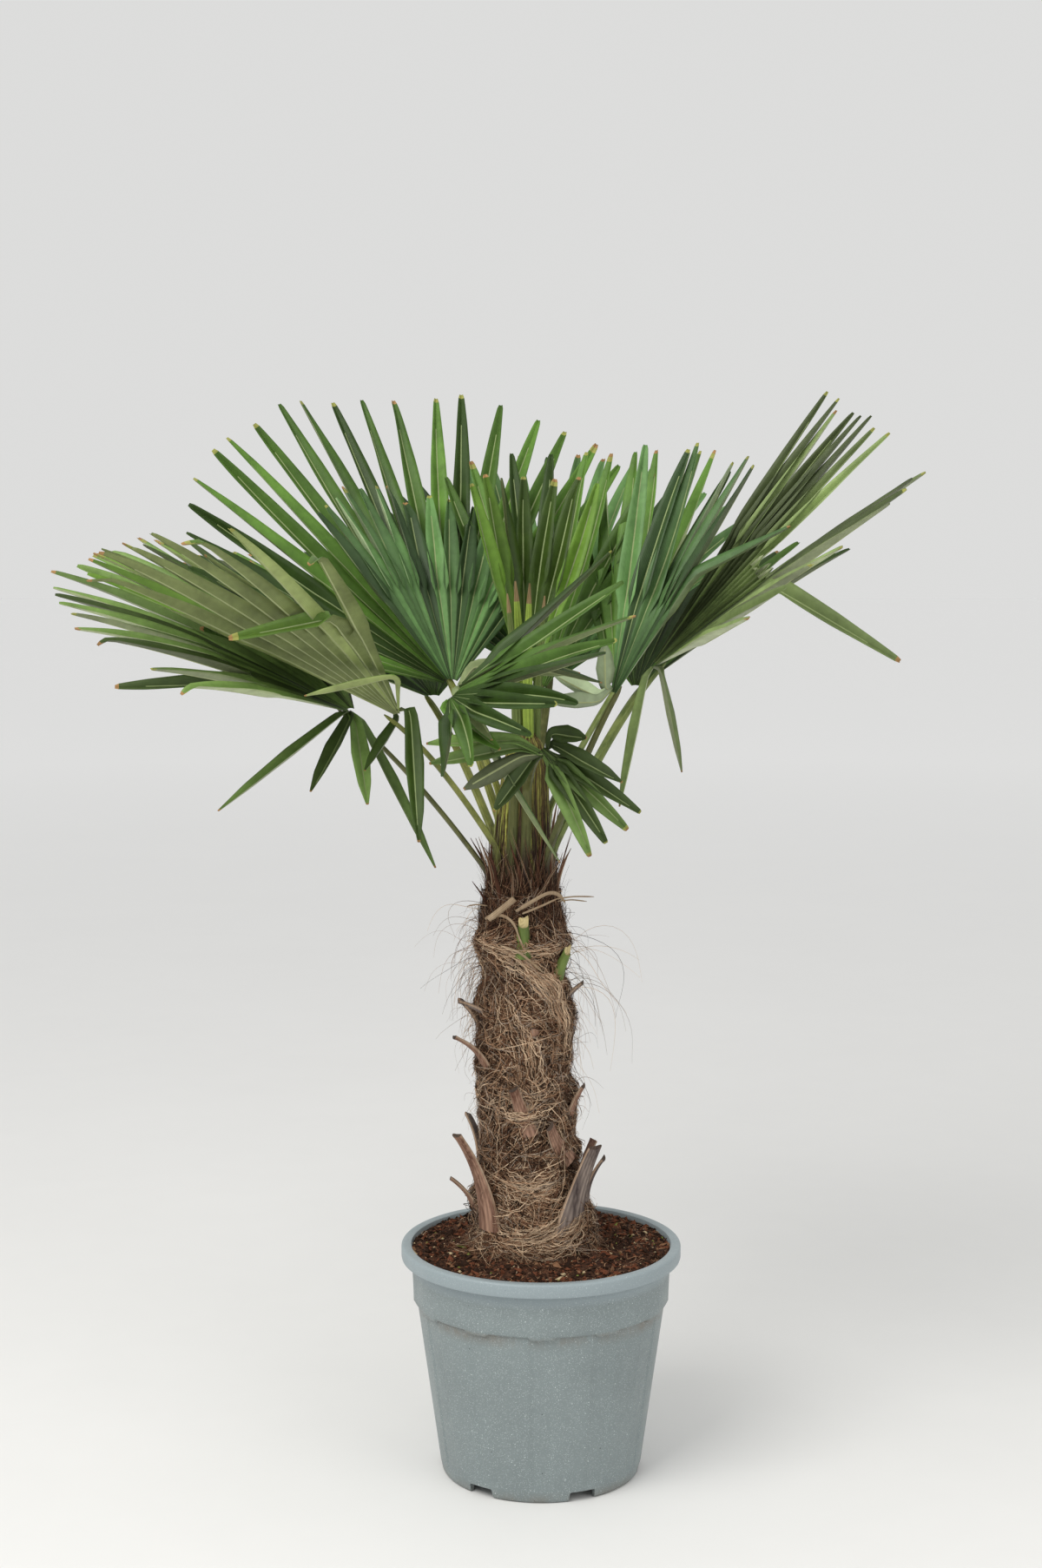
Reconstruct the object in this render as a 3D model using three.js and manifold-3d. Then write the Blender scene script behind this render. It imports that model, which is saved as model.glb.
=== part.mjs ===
// Windmill palm in a nursery pot, in millimetres, +Z up.
// The origin is the middle of the pot's foot, on the ground. -Y is the front and +X is the right.
import * as THREE from "three";
import { mergeVertices } from "three/addons/utils/BufferGeometryUtils.js";
import Module from "manifold-3d";

const wasm = await Module();
wasm.setup();

// --- driving dimensions -------------------------------------------------------------------------

const CLEARANCE = 0.3; // between neighbouring solids

const POT = {
  height: 299,
  footRadius: 128.5,
  bandRadius: 160, // wall just under the band
  bandStep: 4.5,
  bandBottom: 226,
  rimRadius: 180,
  rimBottom: 281,
  lipWidth: 11,
  wall: 3,
  floor: 14,
  footRing: 8,
  padRadius: 30, // round foot in the middle of the floor
  bandFlare: 2, // how much wider the band is at the rim
  shoulderDrop: 8, // how far under the band the inside widens
  bevel: 3, // under the band and under the rim
  rimBevel: 4, // upper edge of the rim
  mouthBevel: 2, // inner edge of the lip
  sides: 48,
};
const FLUTE = { sidesPerPeriod: 4, flatSides: 2, depth: 1.5, top: 220, bottom: 22, fade: 8 };
const NOTCH = { count: 6, first: -126.5, width: 38, height: 13, depth: 30 };
const SOIL = { top: 293, mound: 3, moundRadius: 100 };

// The trunk's rings: height, lean of its middle along X, radius.
const TRUNK_RINGS = [
  [296.6, -10, 84],
  [328, -11, 79.5],
  [360, -14, 75],
  [402, -15, 66],
  [446, -17, 62.5],
  [515, -21, 58.5],
  [594, -21, 59.5],
  [640, -21, 56],
  [696, -25, 60],
  [718, -25, 54],
  [738, -25, 44],
];
const TRUNK_SIDES = 24;
const SHAFT_RINGS = [
  [738.3, -25, 38],
  [790, -24, 36],
  [860, -22, 32],
  [930, -20, 28],
  [955, -20, 24],
];
const SHAFT_SIDES = 16;

// Unopened leaves standing on the crown shaft: place on its top, top end, radius at the foot.
const SPEARS = [
  { foot: [-31, -8], tip: [-43, -10, 1133], radius: 6 },
  { foot: [-20, 5], tip: [-33, 10, 1148], radius: 7 },
  { foot: [-14, -10], tip: [-15, -14, 1146], radius: 6.5 },
  { foot: [-8, 2], tip: [4, 2, 1130], radius: 6 },
];
const SPEAR = { sides: 8, stations: [0, 0.5, 0.85, 1], tipShare: 0.25 };

// Sawn leaf bases on the trunk: angle round the trunk (0 is +X, -90 is the front), height at the
// foot, length, lean away from the trunk, tilt to the side (anticlockwise round the trunk is more)
// and width at the foot.
const STUBS = [
  { angle: -138, height: 342, length: 130, lean: 20, tilt: 0, width: 32 },
  { angle: -165, height: 350, length: 52, lean: 34, tilt: 0, width: 22 },
  { angle: -50, height: 338, length: 108, lean: 12, tilt: 10, width: 38 },
  { angle: -12, height: 352, length: 66, lean: 14, tilt: 0, width: 26 },
  { angle: -92, height: 466, length: 56, lean: 16, tilt: -15, width: 22 },
  { angle: -44, height: 424, length: 60, lean: 9, tilt: -38, width: 24 },
  { angle: -150, height: 521, length: 74, lean: 32, tilt: 0, width: 22 },
  { angle: -20, height: 470, length: 44, lean: 20, tilt: 0, width: 18 },
  { angle: -158, height: 604, length: 38, lean: 60, tilt: 0, width: 20 },
  { angle: -8, height: 622, length: 26, lean: 42, tilt: 0, width: 16 },
  { angle: -88, height: 698, length: 30, lean: 20, tilt: 0, width: 22 },
  { angle: -36, height: 664, length: 26, lean: 30, tilt: 0, width: 20 },
];
// The other leaf bases go round the back at the angle at which a palm sets its leaves.
const BACK_STUBS = {
  count: 7, firstAngle: 25, turn: 137.5, halfTurn: 180, height: 350, rise: 46, length: 74, shorter: 6,
  lean: 16, leanMore: 4, tilts: [12, -18, 8, -10, 20, -6, 0], width: 32, narrower: 2,
};
// thickness at the middle, its share at the foot and at the sawn end, and the width's share there
const STUB = {
  thickness: 9, footThickness: 1.5, tipThickness: 0.7, tipWidth: 0.62, sunk: 14, sunkOut: 0.35,
  belly: 0.45, sides: 8,
};

// Leaflets of a fan. Places are shares of the leaflet's length, widths and thicknesses are in mm.
const LEAFLET = {
  pitch: 6.3, // degrees from one to the next
  split: 0.42, // joined up to here, where a fan has no split of its own
  mid: 0.7, // widest line of the free part, where it bends
  midWidth: 20, // where a fan has no width of its own
  tipWidth: 5.5,
  pleat: 0.28, // height of a crease, as a share of half the joined part's width there
  rootRadius: 11, // the blade starts this far from the hastula
  thickness: 0.0102, // share of the fan's length
  leastThickness: 3,
  shorten: 0.3, // share of the length that is missing at 100 degrees from the middle leaflet
  sagSpread: 0.07,
  lengthSpread: 0.025,
  kinkGap: 0.03, // a broken leaflet bends no nearer to the split than this
  midGap: 0.15, // and a whole one no nearer than this
  stump: 0.04, // half of what is left of a leaflet in a gap, past the split
  steps: 20,
};
// Factors of the repeatable chance that is dealt to a leaflet.
const CHANCE = { place: 12.9898, angle: 78.233, salt: 37.719, scale: 43758.5453 };
// Ways in which a leaflet gives way to what stands before it: extra sag, then share of its length.
const YIELDS = [
  [0, 1], [0.12, 1], [-0.12, 1], [0.26, 1], [-0.26, 1], [0.42, 1], [-0.42, 1],
  [0, 0.84], [0.2, 0.84], [-0.2, 0.84], [0, 0.68], [0.2, 0.68], [-0.2, 0.68], [0, 0.55],
];

// Fans. hastula: where the stalk meets the blade; azimuth, elevation: the middle leaflet; roll: turn
// of the upper side about it; cup: lift of the sides; fold: lift of the side before the middle leaflet,
// where that side is folded; gap: the angles between which its leaflets are gone; sag: bend to the
// ground; from, to: the spread; split, width: a fan's own.
// bent: a leaflet broken at a distance from the hastula and turned to a new azimuth and elevation.
// hanging: leaflets by themselves that leave the hastula at the edge angle, rise a little, go on in a
// direction of their own and are turned about it.
const FANS = [
  {
    name: "left", hastula: [-233, -20, 984], azimuth: 187, elevation: 27.4, roll: -15, length: 417,
    cup: 10, sag: 0.23, from: -56, to: 72, stalk: { angle: 182, height: 752 },
    bent: [{ at: -38, kink: 180, azimuth: -179, elevation: -3, length: 168 }],
    hanging: [
      { edge: -62, rise: 36, azimuth: -128, elevation: -25, length: 236 },
      { edge: -74, rise: 22, azimuth: -116, elevation: -41, length: 126 },
      { edge: -88, rise: 22, azimuth: -75, elevation: -54, length: 120 },
      { edge: -104, rise: 18, azimuth: -28, elevation: -59, length: 206 },
    ],
  },
  {
    name: "front_left", hastula: [-171, -100, 985], azimuth: 200, elevation: 26.7, roll: 3,
    length: 436, cup: 24, sag: 0.16, from: -50, to: 62, stalk: { angle: 214, height: 790 },
    bent: [{ at: -38, kink: 228, azimuth: 176, elevation: -12, length: 129 }],
    hanging: [
      { edge: -62, rise: 108, azimuth: -175, elevation: -13, length: 112 },
      { edge: -76, rise: 44, azimuth: -81, elevation: -63, length: 172 },
      { edge: 92, rise: 12, azimuth: 214, elevation: -52, length: 78 },
    ],
  },
  {
    name: "right", hastula: [134, -27, 1040], azimuth: -15, elevation: 37, roll: 9, length: 420,
    cup: 2, fold: 50, gap: [-9, 0], sag: 0.05, from: -27, to: 62, pitch: 7.1,
    stalk: { angle: -8, height: 770 },
    bent: [{ at: 28, kink: 245, azimuth: 4, elevation: -31, length: 182 }],
    hanging: [
      { edge: 68, rise: 75, azimuth: -6, elevation: -78, length: 128 },
      { edge: 90, rise: 22, azimuth: -152, elevation: -77, length: 164 },
    ],
  },
  {
    name: "front_right", hastula: [83, -110, 1007], azimuth: 20, elevation: 62, roll: 24, length: 344,
    cup: 26, sag: 0.02, from: -22, to: 25, split: 0.3, stalk: { angle: -38, height: 765 },
    bent: [{ at: 22, kink: 185, azimuth: 0, elevation: 27, length: 128 }],
    hanging: [
      { edge: -60, rise: 12, azimuth: -95, elevation: 74, length: 58 },
      { edge: -100, rise: 10, azimuth: 190, elevation: 27, length: 64, turn: 62 },
      { edge: -120, rise: 10, azimuth: 196, elevation: 2, length: 62, turn: 62 },
    ],
  },
  {
    name: "front_low", hastula: [-8, -160, 961], azimuth: -17, elevation: -52, roll: 70, length: 153,
    cup: 2, sag: 0.1, from: -24, to: 12, pitch: 9, split: 0.1, width: 13,
    stalk: { angle: -84, height: 880 }, bent: [],
    hanging: [
      { edge: 40, rise: 14, azimuth: -153, elevation: -50, length: 80, turn: 8 },
      { edge: -60, rise: 16, azimuth: -27, elevation: -25, length: 100, turn: -8 },
      { edge: -100, rise: 18, azimuth: -32, elevation: -5, length: 50, turn: 24 },
      { edge: 115, rise: 16, azimuth: -161, elevation: -9, length: 112, turn: -14 },
      { edge: 140, rise: 22, azimuth: -174, elevation: -3, length: 104, turn: 18 },
      { edge: 80, rise: 20, azimuth: -141, elevation: -21, length: 92, turn: 165 },
    ],
  },
  {
    name: "front", hastula: [-112, -160, 1018], azimuth: -20, elevation: 27, roll: 38, length: 262,
    cup: 10, sag: 0.16, from: -22, to: 86, pitch: 10.8, split: 0.16, width: 19,
    stalk: { angle: 246, height: 880 }, bent: [],
    hanging: [
      { edge: -8, rise: 85, azimuth: -12, elevation: -14, length: 112 },
      { edge: -60, rise: 12, azimuth: -10, elevation: -58, length: 241 },
      { edge: -40, rise: 12, azimuth: -55, elevation: -36, length: 92, turn: 180 },
      { edge: -46, rise: 46, azimuth: -4, elevation: -5, length: 128, turn: -60 },
      { edge: 118, rise: 18, azimuth: -34, elevation: -30, length: 92, turn: 60 },
    ],
  },
  {
    name: "upper_left", hastula: [-116, 90, 1012], azimuth: 119, elevation: 58.7, roll: -5,
    length: 452, cup: 13, sag: 0, from: -82, to: 52, stalk: { angle: 138, height: 800 }, bent: [],
    hanging: [],
  },
  {
    name: "inner_left", hastula: [-113, 45, 1013], azimuth: 114, elevation: 56, roll: 14, length: 305,
    cup: 15, sag: 0.02, from: -46, to: 46, stalk: { angle: 160, height: 850 }, bent: [], hanging: [],
  },
  {
    name: "inner_back", hastula: [-20, 52, 1004], azimuth: 100, elevation: 80, roll: 14, length: 290,
    cup: 28, sag: 0, from: -24, to: 26, pitch: 7.2, stalk: { angle: 100, height: 890 }, bent: [],
    hanging: [],
  },
  {
    name: "upper_back", hastula: [0, 135, 996], azimuth: 80, elevation: 71.5, roll: -2, length: 344,
    cup: 12, sag: 0, from: -32, to: 38, pitch: 8.6, stalk: { angle: 92, height: 850 }, bent: [],
    hanging: [],
  },
  {
    name: "upper_right", hastula: [95, 65, 1004], azimuth: 45, elevation: 68.7, roll: -11,
    length: 341, cup: 12, sag: 0, from: -36, to: 44, pitch: 8.6, stalk: { angle: 30, height: 830 },
    bent: [], hanging: [],
  },
  {
    name: "back", hastula: [15, 205, 1005], azimuth: 92, elevation: 53, roll: 0, length: 388,
    cup: 15, sag: 0.08, from: -66, to: 60, stalk: { angle: 84, height: 785 }, bent: [], hanging: [],
  },
  {
    name: "back_right", hastula: [125, 155, 1000], azimuth: 56, elevation: 31, roll: 0, length: 370,
    cup: 16, sag: 0.14, from: -52, to: 36, stalk: { angle: 50, height: 756 }, bent: [], hanging: [],
  },
  {
    name: "back_left", hastula: [-140, 185, 985], azimuth: 132, elevation: 29, roll: 0, length: 410,
    cup: 14, sag: 0.16, from: -72, to: 60, stalk: { angle: 116, height: 756 }, bent: [], hanging: [],
  },
];
// A hanging leaflet: its start in root radii, the turn after its rise, its belly and four widths.
const HANGING = { start: 1.5, knee: 6, belly: 0.4, widths: [7, 14, 24, 6] };
const STALK = {
  footRadius: 8,
  endRadius: 4.6,
  flatness: 0.7,
  tongue: 22, // how far it runs on under the blade
  tuck: 0.8, // how near under the blade
  seat: 0.6, // share of the crown shaft's radius at which it starts
  arch: 0.05,
  archFrom: 0.3,
  archTo: 0.8,
  sides: 6,
  steps: 5,
};

// --- looks of the plain solids --------------------------------------------------------------------

const LOOKS = {
  pot: { color: 0x8b9a9b, roughness: 0.62, metalness: 0 },
  soil: { color: 0x5a3c2c, roughness: 0.95, metalness: 0 },
  trunk: { color: 0x6b4a35, roughness: 0.92, metalness: 0 },
  shaft: { color: 0x5d5a2c, roughness: 0.75, metalness: 0 },
  spear: { color: 0x8aa446, roughness: 0.55, metalness: 0 },
  stub: { color: 0x8a6243, roughness: 0.85, metalness: 0 },
  stalk: { color: 0x77913f, roughness: 0.5, metalness: 0 },
  blade: { color: 0x3d6b3a, roughness: 0.48, metalness: 0 },
};

// --- small helpers --------------------------------------------------------------------------------

const RIGHT = new THREE.Vector3(1, 0, 0);
const BACK = new THREE.Vector3(0, 1, 0);
const UP = new THREE.Vector3(0, 0, 1);
const radians = THREE.MathUtils.degToRad;
const vector = (x, y, z) => new THREE.Vector3(x, y, z);
const along = (point, direction, distance) => point.clone().addScaledVector(direction, distance);
const mix = (a, b, share) => a + (b - a) * share;

/** Unit vector at an azimuth (0 is +X) and an elevation, both in degrees. */
function heading(azimuth, elevation) {
  const level = Math.cos(radians(elevation));
  return vector(
    level * Math.cos(radians(azimuth)),
    level * Math.sin(radians(azimuth)),
    Math.sin(radians(elevation)),
  );
}

/** A growing list of triangles between shared points. */
class Shell {
  constructor() {
    this.points = [];
    this.faces = [];
  }

  point(position) {
    this.points.push(position);
    return this.points.length - 1;
  }

  triangle(a, b, c) {
    this.faces.push(a, b, c);
  }

  quad(a, b, c, d) {
    this.triangle(a, b, c);
    this.triangle(a, c, d);
  }

  geometry() {
    const geometry = new THREE.BufferGeometry();
    geometry.setAttribute(
      "position",
      new THREE.Float32BufferAttribute(this.points.flatMap((p) => [p.x, p.y, p.z]), 3),
    );
    geometry.setIndex(this.faces);
    return geometry;
  }

  solid() {
    return solidOf(this.geometry());
  }
}

/** A closed geometry as a solid that can be cut and joined. */
function solidOf(geometry) {
  const bare = geometry.clone();
  bare.deleteAttribute("normal");
  bare.deleteAttribute("uv");
  const merged = mergeVertices(bare, 1e-4);
  return new wasm.Manifold(
    new wasm.Mesh({
      numProp: 3,
      vertProperties: new Float32Array(merged.getAttribute("position").array),
      triVerts: new Uint32Array(merged.getIndex().array),
    }),
  );
}

/** The largest piece of a solid: what a cut parts from it falls away. */
function mainPiece(solid) {
  const pieces = solid.decompose();
  return pieces.reduce((best, piece) => (piece.volume() > best.volume() ? piece : best));
}

/** A solid back as a geometry. */
function geometryOf(solid) {
  const mesh = solid.getMesh();
  const geometry = new THREE.BufferGeometry();
  geometry.setAttribute("position", new THREE.Float32BufferAttribute(mesh.vertProperties, 3));
  geometry.setIndex(Array.from(mesh.triVerts));
  return geometry;
}

/** A skin of rings, closed with a flat end at each side. Each ring is a list of as many points. */
function ringsShell(rings) {
  const shell = new Shell();
  const indices = rings.map((ring) => ring.map((position) => shell.point(position)));
  const sides = rings[0].length;
  for (let r = 0; r + 1 < rings.length; r += 1) {
    for (let k = 0; k < sides; k += 1) {
      const next = (k + 1) % sides;
      shell.quad(indices[r][k], indices[r][next], indices[r + 1][next], indices[r + 1][k]);
    }
  }
  const last = indices[indices.length - 1];
  for (let k = 1; k + 1 < sides; k += 1) {
    shell.triangle(indices[0][0], indices[0][k + 1], indices[0][k]);
    shell.triangle(last[0], last[k], last[k + 1]);
  }
  return shell;
}

/** An ellipse of points round a middle, across two directions. */
function ellipse(middle, across, over, width, depth, sides) {
  return Array.from({ length: sides }, (_, k) => {
    const turn = (2 * Math.PI * k) / sides;
    return middle
      .clone()
      .addScaledVector(across, width * Math.cos(turn))
      .addScaledVector(over, depth * Math.sin(turn));
  });
}

/** Level round rings one over the other, made larger by a margin. */
function levelRings(rings, sides, margin = 0) {
  return rings.map(([height, lean, radius]) => {
    const reach = radius + margin;
    return ellipse(vector(lean, 0, height), RIGHT, BACK, reach, reach, sides);
  });
}

/** The middle's lean and the radius of a row of rings at a height. */
function ringAt(rings, height) {
  const top = Math.max(1, rings.findIndex(([z]) => z >= height));
  const upper = height > rings[rings.length - 1][0] ? rings.length - 1 : top;
  const [z0, x0, r0] = rings[upper - 1];
  const [z1, x1, r1] = rings[upper];
  const share = THREE.MathUtils.clamp((height - z0) / (z1 - z0), 0, 1);
  return { lean: mix(x0, x1, share), radius: mix(r0, r1, share) };
}

// --- pot and soil ---------------------------------------------------------------------------------

const INNER_FLOOR = POT.floor + POT.wall;
const SHOULDER = POT.bandBottom - POT.shoulderDrop;
const MOUTH_RADIUS = POT.rimRadius - POT.lipWidth - POT.mouthBevel;
const MOUTH_HEIGHT = POT.height - POT.bevel;

/** Radius of the pot's outer wall at a height, without its flutes. */
function wallRadius(height) {
  return mix(POT.footRadius, POT.bandRadius, height / POT.bandBottom);
}

/** Radius of the pot's inner wall at a height. */
function innerRadius(height) {
  return wallRadius(height) - FLUTE.depth - POT.wall;
}

/** A turned shape from [radius, height, fluted] points that start and end on the axis. */
function turned(profile) {
  const shell = new Shell();
  const rows = profile.map(([radius, height, fluted]) => {
    if (radius === 0) {
      return [shell.point(vector(0, 0, height))];
    }
    return Array.from({ length: POT.sides }, (_, k) => {
      const inFlute = fluted && k % FLUTE.sidesPerPeriod >= FLUTE.flatSides;
      const turn = (2 * Math.PI * k) / POT.sides;
      const reach = radius - (inFlute ? FLUTE.depth : 0);
      return shell.point(vector(reach * Math.cos(turn), reach * Math.sin(turn), height));
    });
  });
  for (let r = 0; r + 1 < rows.length; r += 1) {
    const [low, high] = [rows[r], rows[r + 1]];
    for (let k = 0; k < POT.sides; k += 1) {
      const next = (k + 1) % POT.sides;
      if (low.length > 1) {
        shell.triangle(low[k], low[next], high[high.length > 1 ? next : 0]);
      }
      if (high.length > 1) {
        shell.triangle(low[low.length > 1 ? k : 0], high[next], high[k]);
      }
    }
  }
  return shell.solid();
}

/** The pot: fluted wall, band, rim and a foot with notches. */
function potSolid() {
  const bandRadius = POT.bandRadius + POT.bandStep;
  const plainFoot = FLUTE.bottom - FLUTE.fade;
  let pot = turned([
    [0, 0],
    [POT.padRadius, 0],
    [POT.padRadius, POT.floor],
    [POT.footRadius - POT.footRing, POT.floor],
    [POT.footRadius - POT.footRing, 0],
    [POT.footRadius, 0],
    [wallRadius(plainFoot), plainFoot],
    [wallRadius(FLUTE.bottom), FLUTE.bottom, true],
    [wallRadius(FLUTE.top), FLUTE.top, true],
    [wallRadius(POT.bandBottom), POT.bandBottom],
    [bandRadius, POT.bandBottom + POT.bevel],
    [bandRadius + POT.bandFlare, POT.rimBottom],
    [POT.rimRadius - POT.bevel / 2, POT.rimBottom],
    [POT.rimRadius, POT.rimBottom + POT.bevel],
    [POT.rimRadius, POT.height - POT.rimBevel],
    [POT.rimRadius - POT.rimBevel, POT.height],
    [POT.rimRadius - POT.lipWidth, POT.height],
    [MOUTH_RADIUS, MOUTH_HEIGHT],
    [innerRadius(POT.bandBottom), SHOULDER],
    [innerRadius(INNER_FLOOR), INNER_FLOOR],
    [0, INNER_FLOOR],
  ]);
  for (let k = 0; k < NOTCH.count; k += 1) {
    const box = new THREE.BoxGeometry(NOTCH.depth, NOTCH.width, 2 * NOTCH.height);
    box.translate(POT.footRadius, 0, 0);
    box.rotateZ(radians(NOTCH.first + (360 / NOTCH.count) * k));
    pot = pot.subtract(solidOf(box));
  }
  return pot;
}

/** The compost: it fills the pot and rises a little to the trunk. */
function soilSolid() {
  const floor = INNER_FLOOR + CLEARANCE;
  const slope = (SOIL.top - SHOULDER) / (MOUTH_HEIGHT - SHOULDER);
  const edge = mix(innerRadius(POT.bandBottom), MOUTH_RADIUS, slope);
  const gap = 2 * CLEARANCE;
  return turned([
    [0, floor],
    [innerRadius(floor) - gap, floor],
    [innerRadius(SHOULDER) - gap, SHOULDER],
    [edge - 2 * gap, SOIL.top],
    [SOIL.moundRadius, SOIL.top + SOIL.mound],
    [0, SOIL.top + SOIL.mound],
  ]);
}

// --- trunk, leaf bases, crown shaft, spears ----------------------------------------------------------

/** A sawn leaf base that grows up and away from the trunk, seated on it. */
function stubSolid({ angle, height, length, lean, tilt, width }, trunkSpace) {
  const { lean: middle, radius } = ringAt(TRUNK_RINGS, height);
  const out = heading(angle, 0);
  const upright = heading(angle, 90 - lean);
  const over = upright.clone().cross(heading(angle + 90, 0));
  const axis = upright.applyAxisAngle(over, radians(tilt));
  const across = over.clone().cross(axis);
  const foot = along(vector(middle, 0, height), out, radius - STUB.sunk * STUB.sunkOut);
  const start = along(foot, axis, -STUB.sunk);
  const end = along(foot, axis, length);
  const ring = (centre, share) => {
    const halfWidth = 0.5 * width * mix(1, STUB.tipWidth, share);
    const halfDepth = 0.5 * STUB.thickness * mix(STUB.footThickness, STUB.tipThickness, share);
    return ellipse(centre, across, over, halfWidth, halfDepth, STUB.sides);
  };
  const middleRing = ring(start.clone().lerp(end, 0.5), STUB.belly);
  const body = ringsShell([ring(start, 0), middleRing, ring(end, 1)]).solid();
  return mainPiece(body.subtract(trunkSpace));
}

/** The rest of the leaf bases, round the back of the trunk. */
function backStubs() {
  return Array.from({ length: BACK_STUBS.count }, (_, k) => {
    return {
      angle: (BACK_STUBS.firstAngle + BACK_STUBS.turn * k) % BACK_STUBS.halfTurn,
      height: BACK_STUBS.height + BACK_STUBS.rise * k,
      length: BACK_STUBS.length - BACK_STUBS.shorter * k,
      lean: BACK_STUBS.lean + BACK_STUBS.leanMore * k,
      tilt: BACK_STUBS.tilts[k],
      width: BACK_STUBS.width - BACK_STUBS.narrower * k,
    };
  });
}

/** An unopened leaf, from the crown shaft's top to its tip. */
function spearSolid({ foot, tip, radius }) {
  const base = SHAFT_RINGS[SHAFT_RINGS.length - 1][0] + CLEARANCE;
  const start = vector(foot[0], foot[1], base);
  const end = vector(...tip);
  const rings = SPEAR.stations.map((share) => {
    const size = radius * mix(1, SPEAR.tipShare, share * share);
    return ellipse(start.clone().lerp(end, share), RIGHT, BACK, size, size, SPEAR.sides);
  });
  return ringsShell(rings).solid();
}

// --- fans -------------------------------------------------------------------------------------------

/** The fan's own directions: its middle leaflet, its upper side and its side. */
function fanFrame({ azimuth, elevation, roll }) {
  const axis = heading(azimuth, elevation);
  const rise = heading(azimuth, elevation + 90);
  const side = axis.clone().cross(rise);
  const turn = radians(roll);
  const upper = rise.multiplyScalar(Math.cos(turn)).addScaledVector(side, Math.sin(turn));
  return { axis, upper, across: axis.clone().cross(upper) };
}

/** Angle from one leaflet of a fan to the next. */
function pitchOf(fan) {
  return fan.pitch ?? LEAFLET.pitch;
}

/** Share of its length up to which a fan is joined. */
function splitOf(fan) {
  return fan.split ?? LEAFLET.split;
}

/** Thickness of a fan's blade. */
function thicknessOf(fan) {
  return Math.max(LEAFLET.leastThickness, LEAFLET.thickness * fan.length);
}

/** A repeatable number between -1 and 1 for a leaflet of a fan. */
function chance(fan, angle, salt) {
  const turn = fan.hastula[0] * CHANCE.place + angle * CHANCE.angle + salt * CHANCE.salt;
  const seed = Math.sin(turn) * CHANCE.scale;
  return 2 * (seed - Math.floor(seed)) - 1;
}

/** Length of the leaflet at an angle from the middle one. */
function leafletLength(fan, angle) {
  return fan.length * (1 - LEAFLET.shorten * (angle / 100) ** 2);
}

/** Direction in which the leaflet at an angle leaves the hastula. */
function leafletHeading(fan, frame, angle) {
  const turn = radians(angle);
  const cup = radians(angle < 0 ? (fan.fold ?? fan.cup) : fan.cup);
  return frame.axis
    .clone()
    .multiplyScalar(Math.cos(turn))
    .addScaledVector(frame.across, Math.sin(turn) * Math.cos(cup))
    .addScaledVector(frame.upper, Math.abs(Math.sin(turn)) * Math.sin(cup));
}

/** Points down the middle of a leaflet, in even steps, bending to the ground as it goes. */
function leafletLine(fan, frame, angle, extraSag = 0, share = 1) {
  const { steps } = LEAFLET;
  const step = (leafletLength(fan, angle) * share) / steps;
  const start = leafletHeading(fan, frame, angle);
  const points = [vector(...fan.hastula)];
  for (let k = 0; k < steps; k += 1) {
    const t = ((k + 0.5) / steps) * share;
    const free = Math.max(0, t - splitOf(fan));
    const drop = fan.sag * t * t + extraSag * free;
    points.push(along(points[k], start.clone().addScaledVector(UP, -drop).normalize(), step));
  }
  return points;
}

/** The point a share of the way down a leaflet's line. */
function pointOn(line, share) {
  const place = THREE.MathUtils.clamp(share, 0, 1) * (line.length - 1);
  const index = Math.min(line.length - 2, Math.floor(place));
  return line[index].clone().lerp(line[index + 1], place - index);
}

/** Everything about one leaflet that its solid needs, at one way of giving way. */
function leafletPlan(fan, frame, from, to, [giveSag, giveShare]) {
  const angle = (from + to) / 2;
  const bend = fan.bent.find(({ at }) => at > from && at <= to);
  const extraSag = giveSag + LEAFLET.sagSpread * chance(fan, angle, 1);
  const share = giveShare * (1 + LEAFLET.lengthSpread * (chance(fan, angle, 2) - 1));
  const line = leafletLine(fan, frame, angle, extraSag, share);
  const length = leafletLength(fan, angle);
  const split = splitOf(fan) / share;
  const edges = [from, to].map((edge) => pointOn(leafletLine(fan, frame, edge), splitOf(fan)));
  const plan = {
    across: edges[1].clone().sub(edges[0]).normalize(),
    split: pointOn(line, split),
    mid: pointOn(line, Math.max(LEAFLET.mid, split + LEAFLET.midGap)),
    tip: pointOn(line, 1),
    width: fan.width ?? LEAFLET.midWidth,
  };
  if (bend) {
    plan.mid = pointOn(line, Math.max(bend.kink / length, splitOf(fan) + LEAFLET.kinkGap));
    plan.tip = along(plan.mid, heading(bend.azimuth, bend.elevation), bend.length * share);
  }
  if (fan.gap && angle > fan.gap[0] && angle < fan.gap[1]) {
    plan.mid = pointOn(line, splitOf(fan) + LEAFLET.stump);
    plan.tip = pointOn(line, splitOf(fan) + 2 * LEAFLET.stump);
  }
  return plan;
}

/** The four corners of a leaflet at a place: left and right, upper and lower side. */
function corners(place, across, tangent, width, thickness) {
  const normal = across.clone().cross(tangent).normalize();
  return [-1, 1].map((side) => {
    const edge = along(place, across, (side * width) / 2);
    return { upper: along(edge, normal, thickness / 2), lower: along(edge, normal, -thickness / 2) };
  });
}

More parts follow.
